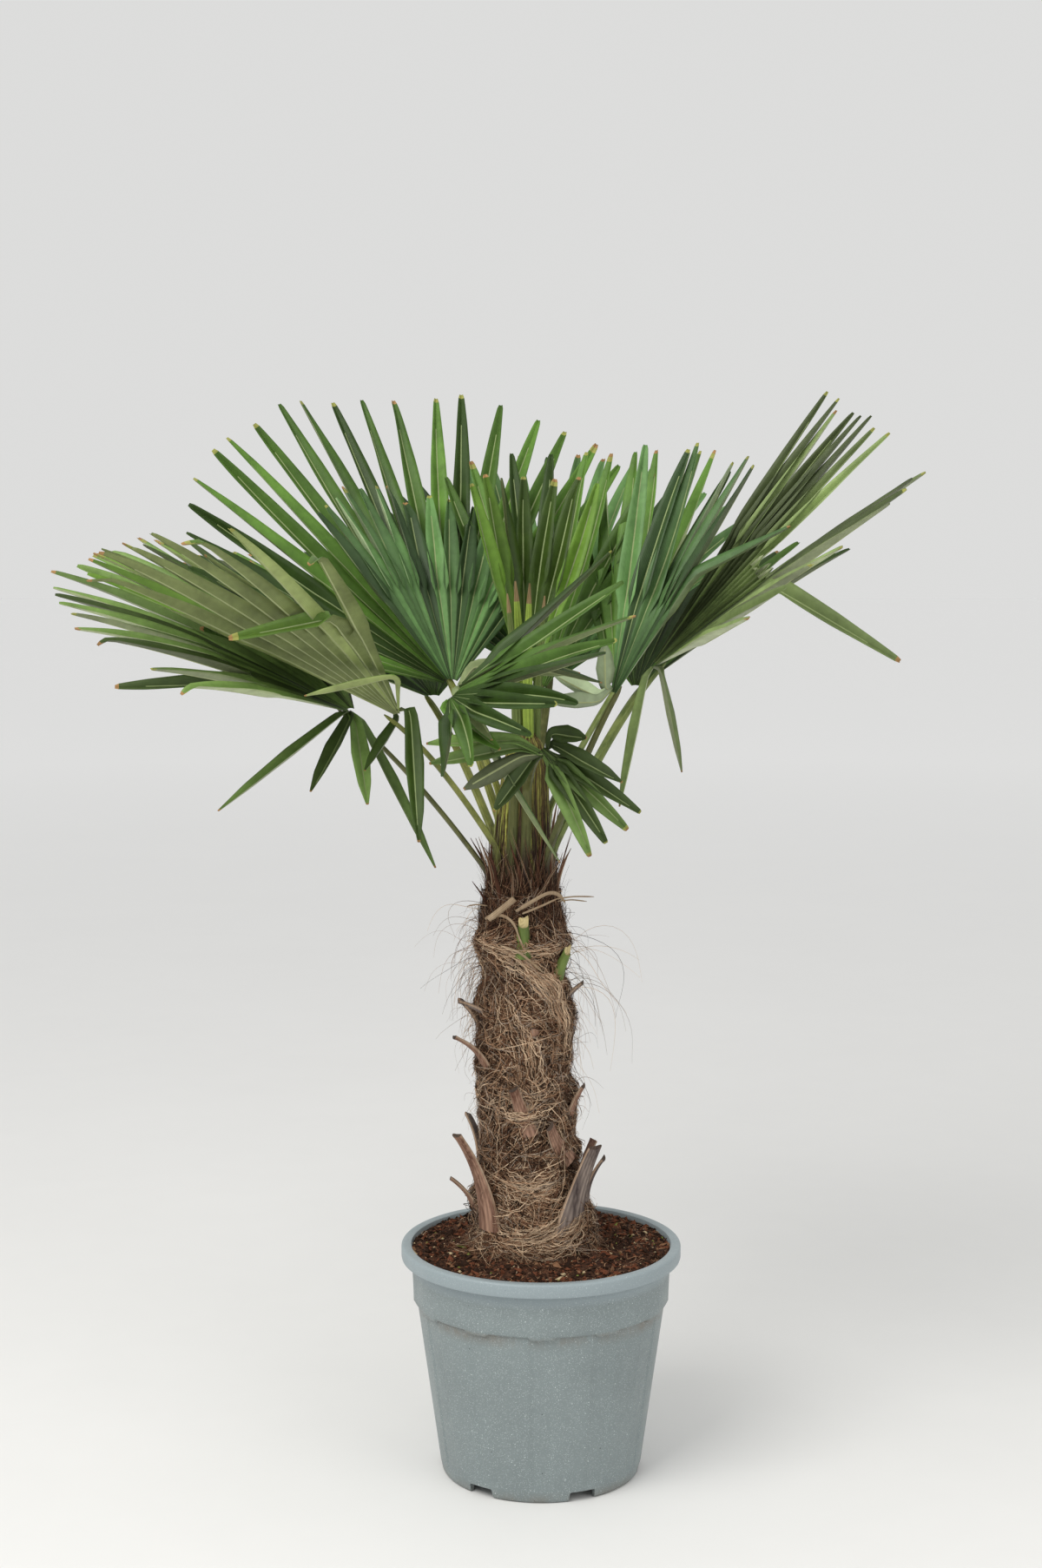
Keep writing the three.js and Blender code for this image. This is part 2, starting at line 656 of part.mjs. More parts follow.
/** Lays the free part of a leaflet on a shell, from three pairs of points at the split outwards. */
function addFreePart(shell, left, middle, right, plan, thickness, growth) {
  const outward = plan.mid.clone().sub(plan.split).normalize();
  const onward = plan.tip.clone().sub(plan.mid).normalize();
  const bisector = outward.clone().add(onward).normalize();
  const stations = [
    corners(plan.mid, plan.across, bisector, plan.width + growth, thickness),
    corners(plan.tip, plan.across, onward, LEAFLET.tipWidth + growth, thickness),
  ].map((pair) => pair.map(({ upper, lower }) => [shell.point(upper), shell.point(lower)]));
  const [[a, b], [c, d]] = stations;
  shell.triangle(left[0], middle[0], a[0]);
  shell.triangle(middle[0], b[0], a[0]);
  shell.triangle(middle[0], right[0], b[0]);
  shell.triangle(left[1], a[1], middle[1]);
  shell.triangle(middle[1], a[1], b[1]);
  shell.triangle(middle[1], b[1], right[1]);
  shell.quad(left[1], left[0], a[0], a[1]);
  shell.quad(right[0], right[1], b[1], b[0]);
  shell.quad(a[0], b[0], d[0], c[0]);
  shell.quad(a[1], c[1], d[1], b[1]);
  shell.quad(a[1], a[0], c[0], c[1]);
  shell.quad(b[0], b[1], d[1], d[0]);
  shell.quad(c[0], d[0], d[1], c[1]);
}

/** The pair of points, upper and lower, on the pleated joined part of a fan. */
function pleatPair(shell, fan, frame, angle, radius, fold, thickness) {
  const share = radius / leafletLength(fan, angle);
  const at = (turn) => pointOn(leafletLine(fan, frame, turn), radius / leafletLength(fan, turn));
  const place = at(angle);
  const across = at(angle + 1).sub(at(angle - 1));
  const line = leafletLine(fan, frame, angle);
  const tangent = pointOn(line, share + 0.05).sub(pointOn(line, Math.max(0, share - 0.05)));
  const normal = across.cross(tangent).normalize();
  const height = fold * LEAFLET.pleat * radius * Math.sin(radians(pitchOf(fan) / 2));
  return [
    shell.point(along(place, normal, height + thickness / 2)),
    shell.point(along(place, normal, height - thickness / 2)),
  ];
}

/** Lays one leaflet's share of the joined part on a shell, and its walls where it ends. */
function addJoinedPart(shell, left, middle, right, walls) {
  const [[l0, k0], [l1, k1]] = left;
  const [[m0, n0], [m1, n1]] = middle;
  const [[r0, s0], [r1, s1]] = right;
  shell.quad(l0, m0, m1, l1);
  shell.quad(m0, r0, r1, m1);
  shell.quad(k0, k1, n1, n0);
  shell.quad(n0, n1, s1, s0);
  shell.quad(k0, n0, m0, l0);
  shell.quad(n0, s0, r0, m0);
  if (walls.left) {
    shell.quad(k0, l0, l1, k1);
  }
  if (walls.right) {
    shell.quad(r0, s0, s1, r1);
  }
}

/** The angles at which a fan's joined part is creased between its leaflets. */
function creases(fan) {
  const count = Math.round((fan.to - fan.from) / pitchOf(fan));
  return Array.from({ length: count + 1 }, (_, k) => mix(fan.from, fan.to, k / count));
}

/** A fan from the first to the last of some creases, made thicker by a growth. */
function fanShell(fan, frame, angles, plans, growth) {
  const shell = new Shell();
  const root = LEAFLET.rootRadius - growth / 2;
  const thickness = thicknessOf(fan) + growth;
  const splitRadius = (angle) => leafletLength(fan, angle) * splitOf(fan);
  const pair = (angle, fold) => [
    pleatPair(shell, fan, frame, angle, root, fold, thickness),
    pleatPair(shell, fan, frame, angle, splitRadius(angle), fold, thickness),
  ];
  const lines = angles.map((angle) => pair(angle, 1));
  plans.forEach((plan, k) => {
    const middle = pair((angles[k] + angles[k + 1]) / 2, -1);
    const walls = { left: k === 0, right: k === plans.length - 1 };
    addJoinedPart(shell, lines[k], middle, lines[k + 1], walls);
    addFreePart(shell, lines[k][1], middle[1], lines[k + 1][1], plan, thickness, growth);
  });
  return shell;
}

/** A leaflet by itself that hangs from the hastula's edge. */
function hangingSolid(fan, frame, hanging, growth) {
  const direction = heading(hanging.azimuth, hanging.elevation);
  const edge = leafletHeading(fan, frame, hanging.edge);
  const hastula = vector(...fan.hastula);
  const half = pitchOf(fan) / 2;
  const nearest = leafletHeading(fan, frame, hanging.edge < 0 ? fan.from + half : fan.to - half);
  const start = along(hastula, nearest, HANGING.start * LEAFLET.rootRadius);
  const out = along(hastula, edge, hanging.rise).addScaledVector(direction, HANGING.knee);
  const across = direction.clone().cross(UP).normalize();
  across.applyAxisAngle(direction, radians(hanging.turn ?? 0));
  const leaving = out.clone().sub(start).normalize();
  const stations = [
    [start, leaving],
    [out, leaving.clone().add(direction).normalize()],
    [along(out, direction, hanging.length * HANGING.belly), direction],
    [along(out, direction, hanging.length), direction],
  ];
  const rings = stations.map(([place, tangent], k) => {
    const level = along(across, tangent, -across.dot(tangent)).normalize();
    const width = HANGING.widths[k] + growth;
    const [left, right] = corners(place, level, tangent, width, thicknessOf(fan) + growth);
    return [left.lower, left.upper, right.upper, right.lower];
  });
  return ringsShell(rings).solid();
}

/** Solids already placed, each with its box, for what comes after to keep clear of. */
class Placed {
  constructor(items = []) {
    this.items = items;
  }

  add(solid) {
    const item = { solid, box: solid.boundingBox() };
    this.items.push(item);
    return item;
  }

  without(left) {
    return new Placed(this.items.filter((item) => item !== left));
  }

  near(solid) {
    const box = solid.boundingBox();
    const apart = (other) =>
      [0, 1, 2].some((k) => other.box.min[k] > box.max[k] || other.box.max[k] < box.min[k]);
    return this.items.filter((item) => !apart(item));
  }

  touches(solid) {
    return this.near(solid).some((item) => !item.solid.intersect(solid).isEmpty());
  }

  cutFrom(solid) {
    return this.near(solid).reduce((rest, item) => rest.subtract(item.solid), solid);
  }
}

/**
 * The blade of a fan. Each leaflet gives way to what is already placed, and is then fixed. It comes
 * with the spaces its leaflets take and, for the fan's own stalk, the space of the blade as a whole.
 */
function bladeSolid(fan, placed) {
  const frame = fanFrame(fan);
  const angles = creases(fan);
  const growth = 2 * CLEARANCE;
  const space = (plan, k) => fanShell(fan, frame, [angles[k], angles[k + 1]], [plan], growth).solid();
  const plans = angles.slice(1).map((to, k) => {
    const tries = YIELDS.map((way) => leafletPlan(fan, frame, angles[k], to, way));
    return tries.find((plan) => !placed.touches(space(plan, k))) ?? tries[tries.length - 1];
  });
  const seat = fanShell(fan, frame, angles, plans, growth).solid();
  const spaces = plans.map(space);
  let blade = fanShell(fan, frame, angles, plans, 0).solid();
  fan.hanging.forEach((hanging) => {
    blade = blade.add(hangingSolid(fan, frame, hanging, 0));
    spaces.push(hangingSolid(fan, frame, hanging, growth));
  });
  return { blade: mainPiece(placed.cutFrom(blade)), spaces, seat };
}

/** The line of a fan's stalk, from inside the crown shaft to just under the blade. */
function stalkCurve(fan) {
  const frame = fanFrame(fan);
  const { angle, height } = fan.stalk;
  const { lean, radius } = ringAt(SHAFT_RINGS, height);
  const start = along(vector(lean, 0, height), heading(angle, 0), radius * STALK.seat);
  const hastula = vector(...fan.hastula);
  const under = thicknessOf(fan) / 2 + STALK.endRadius;
  const end = along(along(hastula, frame.axis, STALK.tongue), frame.upper, -under * STALK.tuck);
  const lift = STALK.arch * hastula.distanceTo(start);
  const lifted = (share) => along(start.clone().lerp(hastula, share), UP, lift);
  return new THREE.CubicBezierCurve3(start, lifted(STALK.archFrom), lifted(STALK.archTo), end);
}

/** The stalk of a fan, wide and flat at its foot. */
function stalkSolid(fan, growth) {
  const curve = stalkCurve(fan);
  const rings = Array.from({ length: STALK.steps + 1 }, (_, k) => {
    const share = k / STALK.steps;
    const tangent = curve.getTangent(share);
    const across = tangent.clone().cross(UP).normalize();
    const over = tangent.clone().cross(across);
    const size = mix(STALK.footRadius, STALK.endRadius, Math.sqrt(share)) + growth / 2;
    return ellipse(curve.getPoint(share), across, over, size, size * STALK.flatness, STALK.sides);
  });
  return ringsShell(rings).solid();
}

// --- the plant in its pot -----------------------------------------------------------------------------

const plant = new THREE.Group();

/** Puts a solid in the plant as a named mesh. */
function addNode(name, solid, look) {
  const mesh = new THREE.Mesh(geometryOf(solid), new THREE.MeshStandardMaterial(LOOKS[look]));
  mesh.name = name;
  plant.add(mesh);
}

/** Two-digit number of the node at an index. */
function number(k) {
  return String(k + 1).padStart(2, "0");
}

addNode("pot", potSolid(), "pot");
addNode("soil", soilSolid(), "soil");

const trunk = ringsShell(levelRings(TRUNK_RINGS, TRUNK_SIDES)).solid();
const shaft = ringsShell(levelRings(SHAFT_RINGS, SHAFT_SIDES)).solid();
const trunkSpace = ringsShell(levelRings(TRUNK_RINGS, TRUNK_SIDES, CLEARANCE)).solid();
const shaftSpace = ringsShell(levelRings(SHAFT_RINGS, SHAFT_SIDES, CLEARANCE)).solid();
addNode("trunk", trunk, "trunk");
addNode("crown_shaft", shaft, "shaft");

[...STUBS, ...backStubs()].forEach((stub, k) => {
  addNode(`leaf_base_${number(k)}`, stubSolid(stub, trunkSpace), "stub");
});

const placed = new Placed();
placed.add(trunkSpace);
placed.add(shaftSpace);
SPEARS.forEach((spear, k) => {
  addNode(`spear_${number(k)}`, spearSolid(spear), "spear");
  placed.add(spearSolid({ ...spear, radius: spear.radius + CLEARANCE }));
});

const stalks = FANS.map((fan) => {
  const solid = mainPiece(placed.cutFrom(stalkSolid(fan, 0)));
  return { solid, space: placed.add(stalkSolid(fan, 2 * CLEARANCE)) };
});

FANS.forEach((fan, k) => {
  const { blade, spaces, seat } = bladeSolid(fan, placed.without(stalks[k].space));
  spaces.forEach((space) => placed.add(space));
  addNode(`fan_${fan.name}`, blade, "blade");
  const stalk = [seat, ...spaces].reduce((rest, space) => rest.subtract(space), stalks[k].solid);
  addNode(`stalk_${fan.name}`, mainPiece(stalk), "stalk");
});

export default plant;
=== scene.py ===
"""Dresses the windmill palm in its nursery pot: pot, compost, fibrous trunk, crown shaft and fans.

All sizes are in metres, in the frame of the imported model: the origin is the middle of the pot's
foot, +Z is up, -Y is the front and +X is the right.
"""

import logging
import math
from collections.abc import Iterable, Sequence
from dataclasses import dataclass, field
from enum import Enum, IntEnum

import bmesh
import bpy
import numpy as np
from bmesh.types import BMesh
from bpy.types import Material, Mesh, Node, NodeSocket, NodeTree, Object
from mathutils import Matrix, Vector
from numpy.random import Generator, default_rng

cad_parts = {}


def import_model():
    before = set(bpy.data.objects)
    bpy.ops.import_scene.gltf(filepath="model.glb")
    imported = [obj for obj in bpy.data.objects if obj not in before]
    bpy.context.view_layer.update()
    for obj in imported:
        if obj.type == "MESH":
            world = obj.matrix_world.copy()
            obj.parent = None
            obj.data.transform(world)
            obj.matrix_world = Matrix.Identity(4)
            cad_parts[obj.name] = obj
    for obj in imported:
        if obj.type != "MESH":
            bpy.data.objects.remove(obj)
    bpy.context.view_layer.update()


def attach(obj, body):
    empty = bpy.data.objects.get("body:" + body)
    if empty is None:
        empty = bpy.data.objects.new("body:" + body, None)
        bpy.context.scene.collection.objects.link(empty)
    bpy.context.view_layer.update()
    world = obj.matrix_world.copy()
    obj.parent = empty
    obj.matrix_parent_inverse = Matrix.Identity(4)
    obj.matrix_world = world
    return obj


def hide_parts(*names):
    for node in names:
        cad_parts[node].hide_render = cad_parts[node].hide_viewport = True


Array = np.ndarray
Colour = tuple[float, float, float]
Point = tuple[float, float, float]
Span = tuple[float, float]
Curve = tuple[tuple[float, float], ...]

LOG = logging.getLogger("palm")
ROOT = "root"
UP = np.array([0.0, 0.0, 1.0])
RIGHT = np.array([1.0, 0.0, 0.0])
FULL_TURN = 2 * math.pi
GOLDEN_TURN = 137.5
POLE_MERGE = 1e-7
SEAM_MERGE = 1e-6


# --- measuring and shaping helpers ---


def heading(azimuth: float, elevation: float) -> Array:
    """Unit vector at an azimuth (0 is +X) and an elevation.

    Args:
        azimuth: Angle round Z in degrees.
        elevation: Angle over the ground in degrees.

    Returns:
        The direction.
    """
    turn, lift = math.radians(azimuth), math.radians(elevation)
    level = math.cos(lift)
    return np.array([level * math.cos(turn), level * math.sin(turn), math.sin(lift)])


def unit(vectors: Array) -> Array:
    """Vectors of length one that point the same way."""
    return vectors / np.maximum(np.linalg.norm(vectors, axis=-1, keepdims=True), 1e-12)


def mix(low: float, high: float, share: float) -> float:
    """The value a share of the way from low to high."""
    return low + (high - low) * share


def ease(share: Array) -> Array:
    """A smooth step from 0 to 1."""
    held = np.clip(share, 0.0, 1.0)
    return held * held * (3 - 2 * held)


def follow(table: Sequence[tuple[float, float]], at: Array) -> Array:
    """Reads a curve given as (place, value) pairs."""
    places, values = zip(*table)
    return np.interp(at, places, values)


def around(
    turn: Array | float,
    reach: Array | float,
    height: Array | float,
    middle: Array | float = 0.0,
) -> Array:
    """Points, or directions, round an upright axis."""
    x, y = reach * np.cos(turn) + middle, reach * np.sin(turn)
    return np.stack(np.broadcast_arrays(x, y, height), -1)


def swung(first: Array, second: Array, angle: Array | float) -> tuple[Array, Array]:
    """Turns two square directions, or the coordinates along them, in their own plane."""
    c, s = np.cos(angle), np.sin(angle)
    return first * c - second * s, first * s + second * c


class Line:
    """A line through points that is read by the distance along it."""

    def __init__(self, points: Array) -> None:
        """Measures the line.

        Args:
            points: The points it runs through, one row each.
        """
        self.points = np.asarray(points, float)
        steps = np.linalg.norm(np.diff(self.points, axis=0), axis=1)
        self.reach = np.concatenate([[0.0], np.cumsum(steps)])
        self.length = float(self.reach[-1])

    def at(self, distance: Array) -> Array:
        """The points at some distances from the start."""
        return np.stack([np.interp(distance, self.reach, self.points[:, k]) for k in range(3)], -1)

    def tangent(self, distance: Array, span: float = 0.004) -> Array:
        """The directions of the line at some distances.

        Args:
            distance: Distances in metres.
            span: How far to each side the direction is measured.

        Returns:
            One unit vector for each distance.
        """
        before = np.clip(distance - span, 0.0, self.length - span)
        after = np.clip(distance + span, span, self.length)
        return unit(self.at(after) - self.at(before))

    def rounded(self, passes: int) -> "Line":
        """The same line with its corners rounded by averaging neighbours.

        Args:
            passes: How often the points are averaged.

        Returns:
            The rounded line.
        """
        points = self.points.copy()
        for _ in range(passes):
            points[1:-1] = 0.25 * points[:-2] + 0.5 * points[1:-1] + 0.25 * points[2:]
        return Line(points)

    def smoothed(self, points: int, passes: int) -> "Line":
        """The same line through evenly spaced points, with its corners rounded."""
        return Line(self.at(np.linspace(0, self.length, points))).rounded(passes)


def bezier(knots: Sequence[Array], steps: int) -> Line:
    """A cubic curve from four control points.

    Args:
        knots: The four control points.
        steps: Into how many steps it is cut.

    Returns:
        The curve as a line.
    """
    t = np.linspace(0.0, 1.0, steps + 1)[:, None]
    first, second, third, fourth = knots
    share = 1 - t
    curve = share**3 * first + 3 * share**2 * t * second + 3 * share * t**2 * third + t**3 * fourth
    return Line(curve)


def loft(
    bm: BMesh,
    places: Array,
    paint: Array | int = 0,
    closed: bool = False,
    capped: bool = False,
    cap_paint: int | None = None,
) -> None:
    """Bends a flat grid to a skin. Its faces look towards (across x along).

    Args:
        bm: The mesh that gets the skin.
        places: Rows along the skin, each a row of points across or round it.
        paint: Material index of each face, or of all.
        closed: Whether the first and last point of a row are one.
        capped: Whether the open ends are filled.
        cap_paint: Material index of the far cap, if it has its own.
    """
    rows, columns = places.shape[0] - 1, places.shape[1] - 1
    paints = np.broadcast_to(paint, (rows, columns))
    grid = bmesh.ops.create_grid(bm, x_segments=columns, y_segments=rows, size=0.5)["verts"]
    layer = bm.loops.layers.uv.verify()
    spots = {v: (v.co.x + 0.5, v.co.y + 0.5) for v in grid}
    for face in {f for v in grid for f in v.link_faces}:
        middle = face.calc_center_median()
        column, row = int((middle.x + 0.5) * columns), int((middle.y + 0.5) * rows)
        face.smooth = True
        face.material_index = int(paints[row, column])
        for loop in face.loops:
            loop[layer].uv = spots[loop.vert]
    ends = ([], [])
    for vert, (across, along) in spots.items():
        row, column = round(along * rows), round(across * columns)
        vert.co = places[row, column]
        if row in (0, rows):
            ends[row == rows].append(vert)
    if closed:
        bmesh.ops.remove_doubles(bm, verts=grid, dist=POLE_MERGE)
    if capped:
        for far, verts in enumerate(ends):
            rim = {e for v in verts if v.is_valid for e in v.link_edges if e.is_boundary}
            filled = bmesh.ops.holes_fill(bm, edges=list(rim), sides=0)["faces"]
            if far and cap_paint is not None:
                for face in filled:
                    face.material_index = cap_paint


def tube(line: Line, across: Array, sizes: Array, section: Array) -> Array:
    """The grid of a rod round a line.

    Args:
        line: The middle of the rod.
        across: Roughly the direction of the section's first axis.
        sizes: For each row (share of the line, half width, half depth).
        section: Points of the section, in half widths and half depths, anticlockwise.

    Returns:
        The grid of places, closed on itself.
    """
    distance = sizes[:, 0] * line.length
    middles, tangents = line.at(distance), line.tangent(distance)
    overs = unit(np.cross(tangents, np.broadcast_to(across, tangents.shape)))
    sides = np.cross(overs, tangents)
    ring = np.vstack([section, section[:1]])
    width = sizes[:, None, 1:2] * ring[None, :, 0:1]
    depth = sizes[:, None, 2:3] * ring[None, :, 1:2]
    return middles[:, None, :] + sides[:, None, :] * width + overs[:, None, :] * depth


def round_section(points: int, flat: float = 1.0) -> Array:
    """Points round a section whose upper half may be flatter.

    Args:
        points: How many points.
        flat: Height of the upper half as a share of the lower one.

    Returns:
        One row (across, over) for each point.
    """
    turn = np.arange(points) * FULL_TURN / points
    over = np.sin(turn)
    return np.stack([np.cos(turn), np.where(over > 0, over * flat, over)], -1)


def harden(bm: BMesh, degrees: float) -> None:
    """Marks the edges that turn more than an angle as sharp.

    Args:
        bm: The mesh.
        degrees: The angle.
    """
    limit = math.radians(degrees)
    for edge in bm.edges:
        edge.smooth = len(edge.link_faces) != 2 or edge.calc_face_angle() <= limit


def piece(bm: BMesh, name: str, materials: Iterable[Material]) -> Object:
    """Makes a finished mesh an object in the scene and frees the bmesh.

    Args:
        bm: The mesh.
        name: The piece's name.
        materials: Its materials, in the order of their indices.

    Returns:
        The new object.
    """
    mesh = bpy.data.meshes.new(name)
    bm.to_mesh(mesh)
    bm.free()
    return placed(mesh, name, materials)


def placed(mesh: Mesh, name: str, materials: Iterable[Material]) -> Object:
    """Puts a mesh in the scene with its materials.

    Args:
        mesh: The mesh.
        name: The object's name.
        materials: Its materials, in the order of their indices.

    Returns:
        The new object.
    """
    for material in materials:
        mesh.materials.append(material)
    made = bpy.data.objects.new(name, mesh)
    bpy.context.scene.collection.objects.link(made)
    return made


def dress(made: Object, slot: str, *nodes: str) -> None:
    """Fixes a piece to the plant's body.

    Args:
        made: The piece.
        slot: The record's material slot; not used.
        *nodes: Solids that it stands for.
    """
    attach(made, ROOT)
    if nodes:
        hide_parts(*nodes)
    LOG.info("%-22s %7d faces", made.name, len(made.data.polygons))


# --- many thin strands in one mesh ---


@dataclass
class Strands:
    """Fibres, each a row of points, that become one joined mesh."""

    paths: Array
    widths: Array
    facing: Array
    tints: Array
    sides: int = 2
    ridge: float = 1.5

    @classmethod
    def joined(cls, groups: Sequence["Strands"]) -> "Strands":
        """Groups of fibres with equally many points and sides, as one."""
        kinds = zip(*((g.paths, g.widths, g.facing, g.tints) for g in groups))
        return cls(*(np.concatenate(parts) for parts in kinds), sides=groups[0].sides)

    def mesh(self, name: str) -> Mesh:
        """Joins all the fibres.

        Args:
            name: The mesh's name.

        Returns:
            Ribbons for two sides, or three-sided rods that taper to their ends.
        """
        count, points = self.paths.shape[:2]
        tangents = unit(np.gradient(self.paths, axis=1))
        across = unit(np.cross(tangents, self.facing))
        over = np.cross(across, tangents)
        half = 0.5 * self.widths[..., None]
        rails = [self.paths - across * half, self.paths + across * half]
        if self.sides == 3:
            rails.append(self.paths + over * half * self.ridge)
        verts = np.stack(rails, axis=2).reshape(-1, 3)
        first = np.arange(count)[:, None] * points + np.arange(points - 1)[None, :]
        near = first.reshape(-1) * self.sides
        far = near + self.sides
        pairs = [(0, 1)] if self.sides == 2 else [(0, 1), (1, 2), (2, 0)]
        faces = np.concatenate(
            [np.stack([near + a, near + b, far + b, far + a], -1) for a, b in pairs]
        )
        mesh = bpy.data.meshes.new(name)
        mesh.from_pydata(verts.tolist(), [], faces.tolist())
        per_face = np.tile(np.repeat(self.tints, points - 1), len(pairs))
        mesh.polygons.foreach_set("material_index", per_face.astype(np.int32))
        mesh.polygons.foreach_set("use_smooth", np.ones(len(faces), bool))
        mesh.update()
        return mesh


# --- finishes ---


class MixSocket(IntEnum):
    """Sockets of a Mix node that mixes colours: three inputs and its result."""

    SHARE = 0
    LOW = 6
    HIGH = 7
    RESULT = 2


@dataclass
class Board:
    """A shader node tree with short ways to add and join nodes."""

    tree: NodeTree

    def join(self, value: object, socket: NodeSocket) -> None:
        """Links an output to a socket, or sets the socket to a plain value.

        Args:
            value: Another node's output, or a number, a vector or a colour.
            socket: The input that gets it.
        """
        if isinstance(value, NodeSocket):
            self.tree.links.new(value, socket)
        else:
            socket.default_value = value

    def add(self, kind: str, inputs: dict | None = None, **settings: object) -> Node:
        """Adds a node. Its settings come first, because a group has no sockets before its tree.

        Args:
            kind: The node's type.
            inputs: Values or other nodes' outputs, by the name or index of the socket.
            **settings: The node's own properties.

        Returns:
            The node.
        """
        node = self.tree.nodes.new(kind)
        for key, value in settings.items():
            setattr(node, key, value)
        for key, value in (inputs or {}).items():
            self.join(value, node.inputs[key])
        return node

    def maths(self, operation: str, *values: object) -> NodeSocket:
        """Adds a Math node on numbers or outputs and gives its result."""
        node = self.add("ShaderNodeMath", dict(enumerate(values)), operation=operation)
        return node.outputs[0]

    def blend(self, share: object, low: object, high: object) -> NodeSocket:
        """Adds a colour mix and gives its result."""
        inputs = {MixSocket.SHARE: share, MixSocket.LOW: low, MixSocket.HIGH: high}
        return self.add("ShaderNodeMix", inputs, data_type="RGBA").outputs[MixSocket.RESULT]

    def between(self, value: object, low: float, high: float) -> NodeSocket:
        """Adds a range from low to high that is read as 0 to 1."""
        inputs = {"Value": value, "From Min": low, "From Max": high}
        return self.add("ShaderNodeMapRange", inputs, clamp=True).outputs["Result"]


def shade(colour: Colour, factor: float = 1.0) -> tuple[float, float, float, float]:
    """A colour with its opacity, made lighter or darker by a factor."""
    return (colour[0] * factor, colour[1] * factor, colour[2] * factor, 1.0)


def darker_lighter(colour: Colour, spread: float) -> tuple[Colour, Colour]:
    """Two colours that lie a share under and over one."""
    return tuple(c * (1 - spread) for c in colour), tuple(c * (1 + spread) for c in colour)


def new_group(
    name: str, inputs: Sequence[tuple[str, str, object]], outputs: Sequence[tuple[str, str]]
) -> tuple[Board, Node, Node]:
    """Starts a node group.

    Args:
        name: The group's name.
        inputs: (name, socket type, default) of each input.
        outputs: (name, socket type) of each output.

    Returns:
        The group's board, its input node and its output node.
    """
    tree = bpy.data.node_groups.new(name, "ShaderNodeTree")
    for label, kind, default in inputs:
        socket = tree.interface.new_socket(name=label, in_out="INPUT", socket_type=kind)
        if default is not None:
            socket.default_value = default
    for label, kind in outputs:
        tree.interface.new_socket(name=label, in_out="OUTPUT", socket_type=kind)
    board = Board(tree)
    return board, board.add("NodeGroupInput"), board.add("NodeGroupOutput")


@dataclass
class Effects:
    """The node groups that the finishes share, each built once."""

    finer: float = 6.0
    coarse_share: float = 0.7
    blotch_range: Span = (0.36, 0.64)

    def __post_init__(self) -> None:
        """Builds the groups."""
        self.mottle = self.build_mottle()
        self.ridges = self.build_ridges()
        self.flecks = self.build_flecks()

    def build_mottle(self) -> NodeTree:
        """Two sizes of soft blotches between two colours.

        Returns:
            The group.
        """
        board, given, out = new_group(
            "mottle",
            (
                ("Vector", "NodeSocketVector", None),
                ("Scale", "NodeSocketFloat", 40.0),
                ("Low", "NodeSocketColor", None),
                ("High", "NodeSocketColor", None),
            ),
            (("Color", "NodeSocketColor"), ("Mask", "NodeSocketFloat")),
        )
        vector, scale = given.outputs["Vector"], given.outputs["Scale"]
        coarse = board.add("ShaderNodeTexNoise", {"Vector": vector, "Scale": scale, "Detail": 3.0})
        finer = board.maths("MULTIPLY", scale, self.finer)
        fine = board.add("ShaderNodeTexNoise", {"Vector": vector, "Scale": finer})
        both = board.maths(
            "ADD",
            board.maths("MULTIPLY", coarse.outputs["Fac"], self.coarse_share),
            board.maths("MULTIPLY", fine.outputs["Fac"], 1 - self.coarse_share),
        )
        mask = board.between(both, *self.blotch_range)
        colour = board.blend(mask, given.outputs["Low"], given.outputs["High"])
        board.join(colour, out.inputs["Color"])
        board.join(mask, out.inputs["Mask"])
        return board.tree

    def build_ridges(self) -> NodeTree:
        """Fine lines that run along a surface, from its own UV map.

        Returns:
            The group.
        """
        board, given, out = new_group(
            "ridges",
            (("UV", "NodeSocketVector", None), ("Count", "NodeSocketFloat", 20.0)),
            (("Height", "NodeSocketFloat"),),
        )
        across = board.add("ShaderNodeSeparateXYZ", {0: given.outputs["UV"]}).outputs[0]
        turns = board.maths("MULTIPLY", given.outputs["Count"], FULL_TURN)
        wave = board.maths("SINE", board.maths("MULTIPLY", across, turns))
        board.join(board.maths("MULTIPLY_ADD", wave, 0.5, 0.5), out.inputs["Height"])
        return board.tree

    def build_flecks(self) -> NodeTree:
        """Small spots scattered through a material.

        Returns:
            The group.
        """
        board, given, out = new_group(
            "flecks",
            (
                ("Vector", "NodeSocketVector", None),
                ("Scale", "NodeSocketFloat", 300.0),
                ("Size", "NodeSocketFloat", 0.2),
                ("Share", "NodeSocketFloat", 0.5),
            ),
            (("Mask", "NodeSocketFloat"),),
        )
        where = {"Vector": given.outputs["Vector"], "Scale": given.outputs["Scale"]}
        cells = board.add("ShaderNodeTexVoronoi", where)
        near = board.maths("LESS_THAN", cells.outputs["Distance"], given.outputs["Size"])
        draw = board.add("ShaderNodeSeparateColor", {0: cells.outputs["Color"]}).outputs[0]
        chosen = board.maths("LESS_THAN", draw, given.outputs["Share"])
        board.join(board.maths("MULTIPLY", near, chosen), out.inputs["Mask"])
        return board.tree


